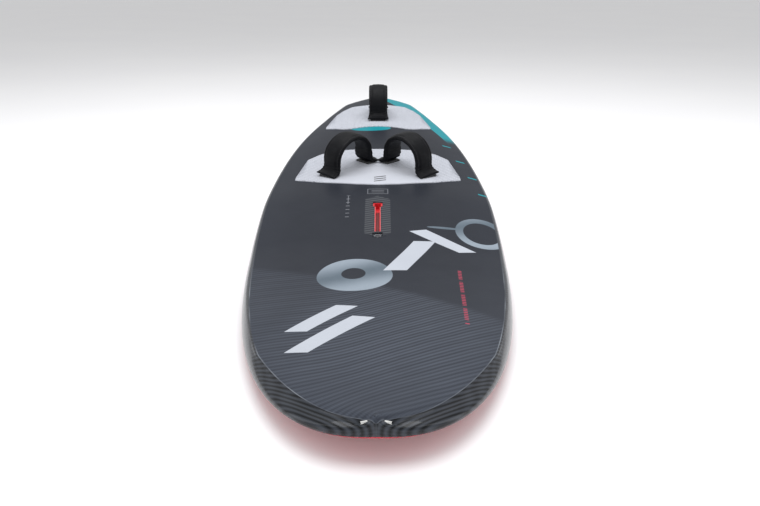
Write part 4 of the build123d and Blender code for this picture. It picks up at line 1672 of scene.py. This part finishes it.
# ---- setting -------------------------------------------------------------------------
@dataclass
class Setting:
    """Camera, floor and lights. The board stands on its fin and the front of its bottom."""

    shape: HullShape
    fin_tip: tuple[float, float] = (1077.0, -180.3)
    camera_ahead: float = 1060.0
    camera_height: float = 1122.0
    camera_side: float = 6.0
    camera_pitch: float = 28.17
    lens: float = 41.68
    reach: float = 60000.0
    lights: tuple = (
        ("overhead", (0.0, 0.9, 3.4), (0.0, 0.1, 0.0), (3.0, 4.4), 122.0),
        ("left_strip", (-3.0, -0.3, 1.5), (0.0, -0.2, 0.0), (1.2, 4.6), 22.0),
        ("right_strip", (3.0, -0.3, 1.5), (0.0, -0.2, 0.0), (1.2, 4.6), 24.0),
        ("front_fill", (0.2, -3.6, 1.6), (0.0, -0.5, 0.0), (2.6, 1.6), 16.0))

    def floor_slope(self) -> float:
        """Slope, along -Y, of the plane under the fin's tip and the bottom.

        Returns:
            The slope.
        """
        y_tip, drop = self.fin_tip
        slopes = []
        for s in range(900, 2240, 5):
            slopes.append((self.shape.rocker(s) - drop) / (y_tip - self.shape.track_station + s))
        return min(slopes)

    def add_light(self, name: str, place: Point, aim: Point, size: tuple[float, float],
                  power: float) -> None:
        """Adds a soft rectangular light.

        Args:
            name: name of the light.
            place: position in metres.
            aim: point that it faces, in metres.
            size: its width and height in metres.
            power: power in watts.
        """
        data = bpy.data.lights.new(name, "AREA")
        data.shape = "RECTANGLE"
        data.size, data.size_y = size
        data.energy = power
        lamp = bpy.data.objects.new(name, data)
        lamp.location = place
        way = np.array(aim) - np.array(place)
        lamp.rotation_euler = Vector(way).to_track_quat("-Z", "Y").to_euler()
        bpy.context.scene.collection.objects.link(lamp)

    def build(self) -> None:
        """Builds the camera, the floor, the lights and the world."""
        shape = self.shape
        camera_data = bpy.data.cameras.new("camera")
        camera_data.lens = self.lens
        camera_data.sensor_width = 36.0
        camera_data.clip_end = 300.0
        camera = bpy.data.objects.new("camera", camera_data)
        y = shape.track_station - shape.length - self.camera_ahead
        camera.location = (self.camera_side * MM, y * MM,
                           (self.camera_height - shape.track_height) * MM)
        camera.rotation_euler = (math.radians(90.0 - self.camera_pitch), 0.0, 0.0)
        bpy.context.scene.collection.objects.link(camera)
        bpy.context.scene.camera = camera

        slope = self.floor_slope()
        y_tip, drop = self.fin_tip
        reach = self.reach

        def level(y: float) -> float:
            """Height of the floor at a place along."""
            return -shape.track_height + drop + slope * (y_tip - y)

        corners = [(x, y, level(y)) for y in (-reach, reach) for x in (-reach, reach)]
        sh = Shader("studio_floor", Roughness=0.9, Specular_IOR_Level=0.1)
        sh.surface.inputs["Emission Color"].default_value = (1.0, 1.0, 1.0, 1.0)
        sh.surface.inputs["Emission Strength"].default_value = 0.06
        tone = sh.mix((0.90, 0.90, 0.91), (0.86, 0.86, 0.88), sh.noise(900.0, 2.0))
        floor = make_object("floor", corners, [(0, 1, 3, 2)], [sh.finish(tone)])

        for light in self.lights:
            self.add_light(*light)
        world = bpy.data.worlds.new("studio")
        world.use_nodes = True
        back = world.node_tree.nodes["Background"]
        back.inputs["Color"].default_value = (1.0, 1.0, 1.0, 1.0)
        back.inputs["Strength"].default_value = 0.60
        bpy.context.scene.world = world
        bpy.context.scene.view_settings.view_transform = "Standard"


# ---- assembly ------------------------------------------------------------------------
def front_pad(shape: HullShape, paints: Paints) -> DeckPad:
    """The pad under both front straps.

    Args:
        shape: the hull's shape.
        paints: the finishes.

    Returns:
        The pad, not yet built.
    """
    fore = [(0.0, 1069.0), (60.0, 1061.0), (158.0, 1031.0), (242.0, 985.0)]
    aft = [(0.0, 747.0), (105.0, 747.0), (175.0, 768.0), (213.0, 808.0), (242.0, 984.0)]
    return DeckPad(shape, paints, "front_pad", fore, aft, (0.0, 262.0), (150.0, 92.0))


def rear_pad(shape: HullShape, paints: Paints) -> DeckPad:
    """The pad under the rear strap.

    Args:
        shape: the hull's shape.
        paints: the finishes.

    Returns:
        The pad, not yet built.
    """
    fore = [(0.0, 497.0), (45.0, 503.0), (92.0, 517.0), (115.0, 515.0), (182.0, 472.0)]
    aft = [(0.0, 172.0), (98.0, 172.0), (128.0, 217.0), (150.0, 276.0), (182.0, 471.0)]
    return DeckPad(shape, paints, "rear_pad", fore, aft, (0.0, 1120.0), (40.0, 30.0))


def footstraps(shape: HullShape, paints: Paints) -> list[Footstrap]:
    """The three footstraps, feet given as distance across and station.

    Args:
        shape: the hull's shape.
        paints: the finishes.

    Returns:
        The straps, not yet built.
    """
    outer, inner = (138.0, 978.0), (35.0, 864.0)
    return [Footstrap(shape, paints, "front_left", (-outer[0], outer[1]),
                      (-inner[0], inner[1]), 3),
            Footstrap(shape, paints, "front_right", outer, inner, 5),
            Footstrap(shape, paints, "rear", (0.0, 417.0), (0.0, 267.0), 8)]


def main() -> None:
    """Builds the board round its frame and sets the scene."""
    logging.basicConfig(level=logging.INFO, format="%(name)s: %(message)s")
    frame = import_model()
    shape = HullShape()
    paints = Paints()
    groups = [Hull(shape, paints), front_pad(shape, paints), rear_pad(shape, paints),
              *footstraps(shape, paints)]
    for group in groups:
        for piece in group.build():
            LOG.info("%s: %d faces", piece.name, len(piece.data.polygons))
    for node in Hardware(paints).dress(frame):
        LOG.info("%s: dressed", node)
    Setting(shape).build()


if __name__ == "__main__":
    main()
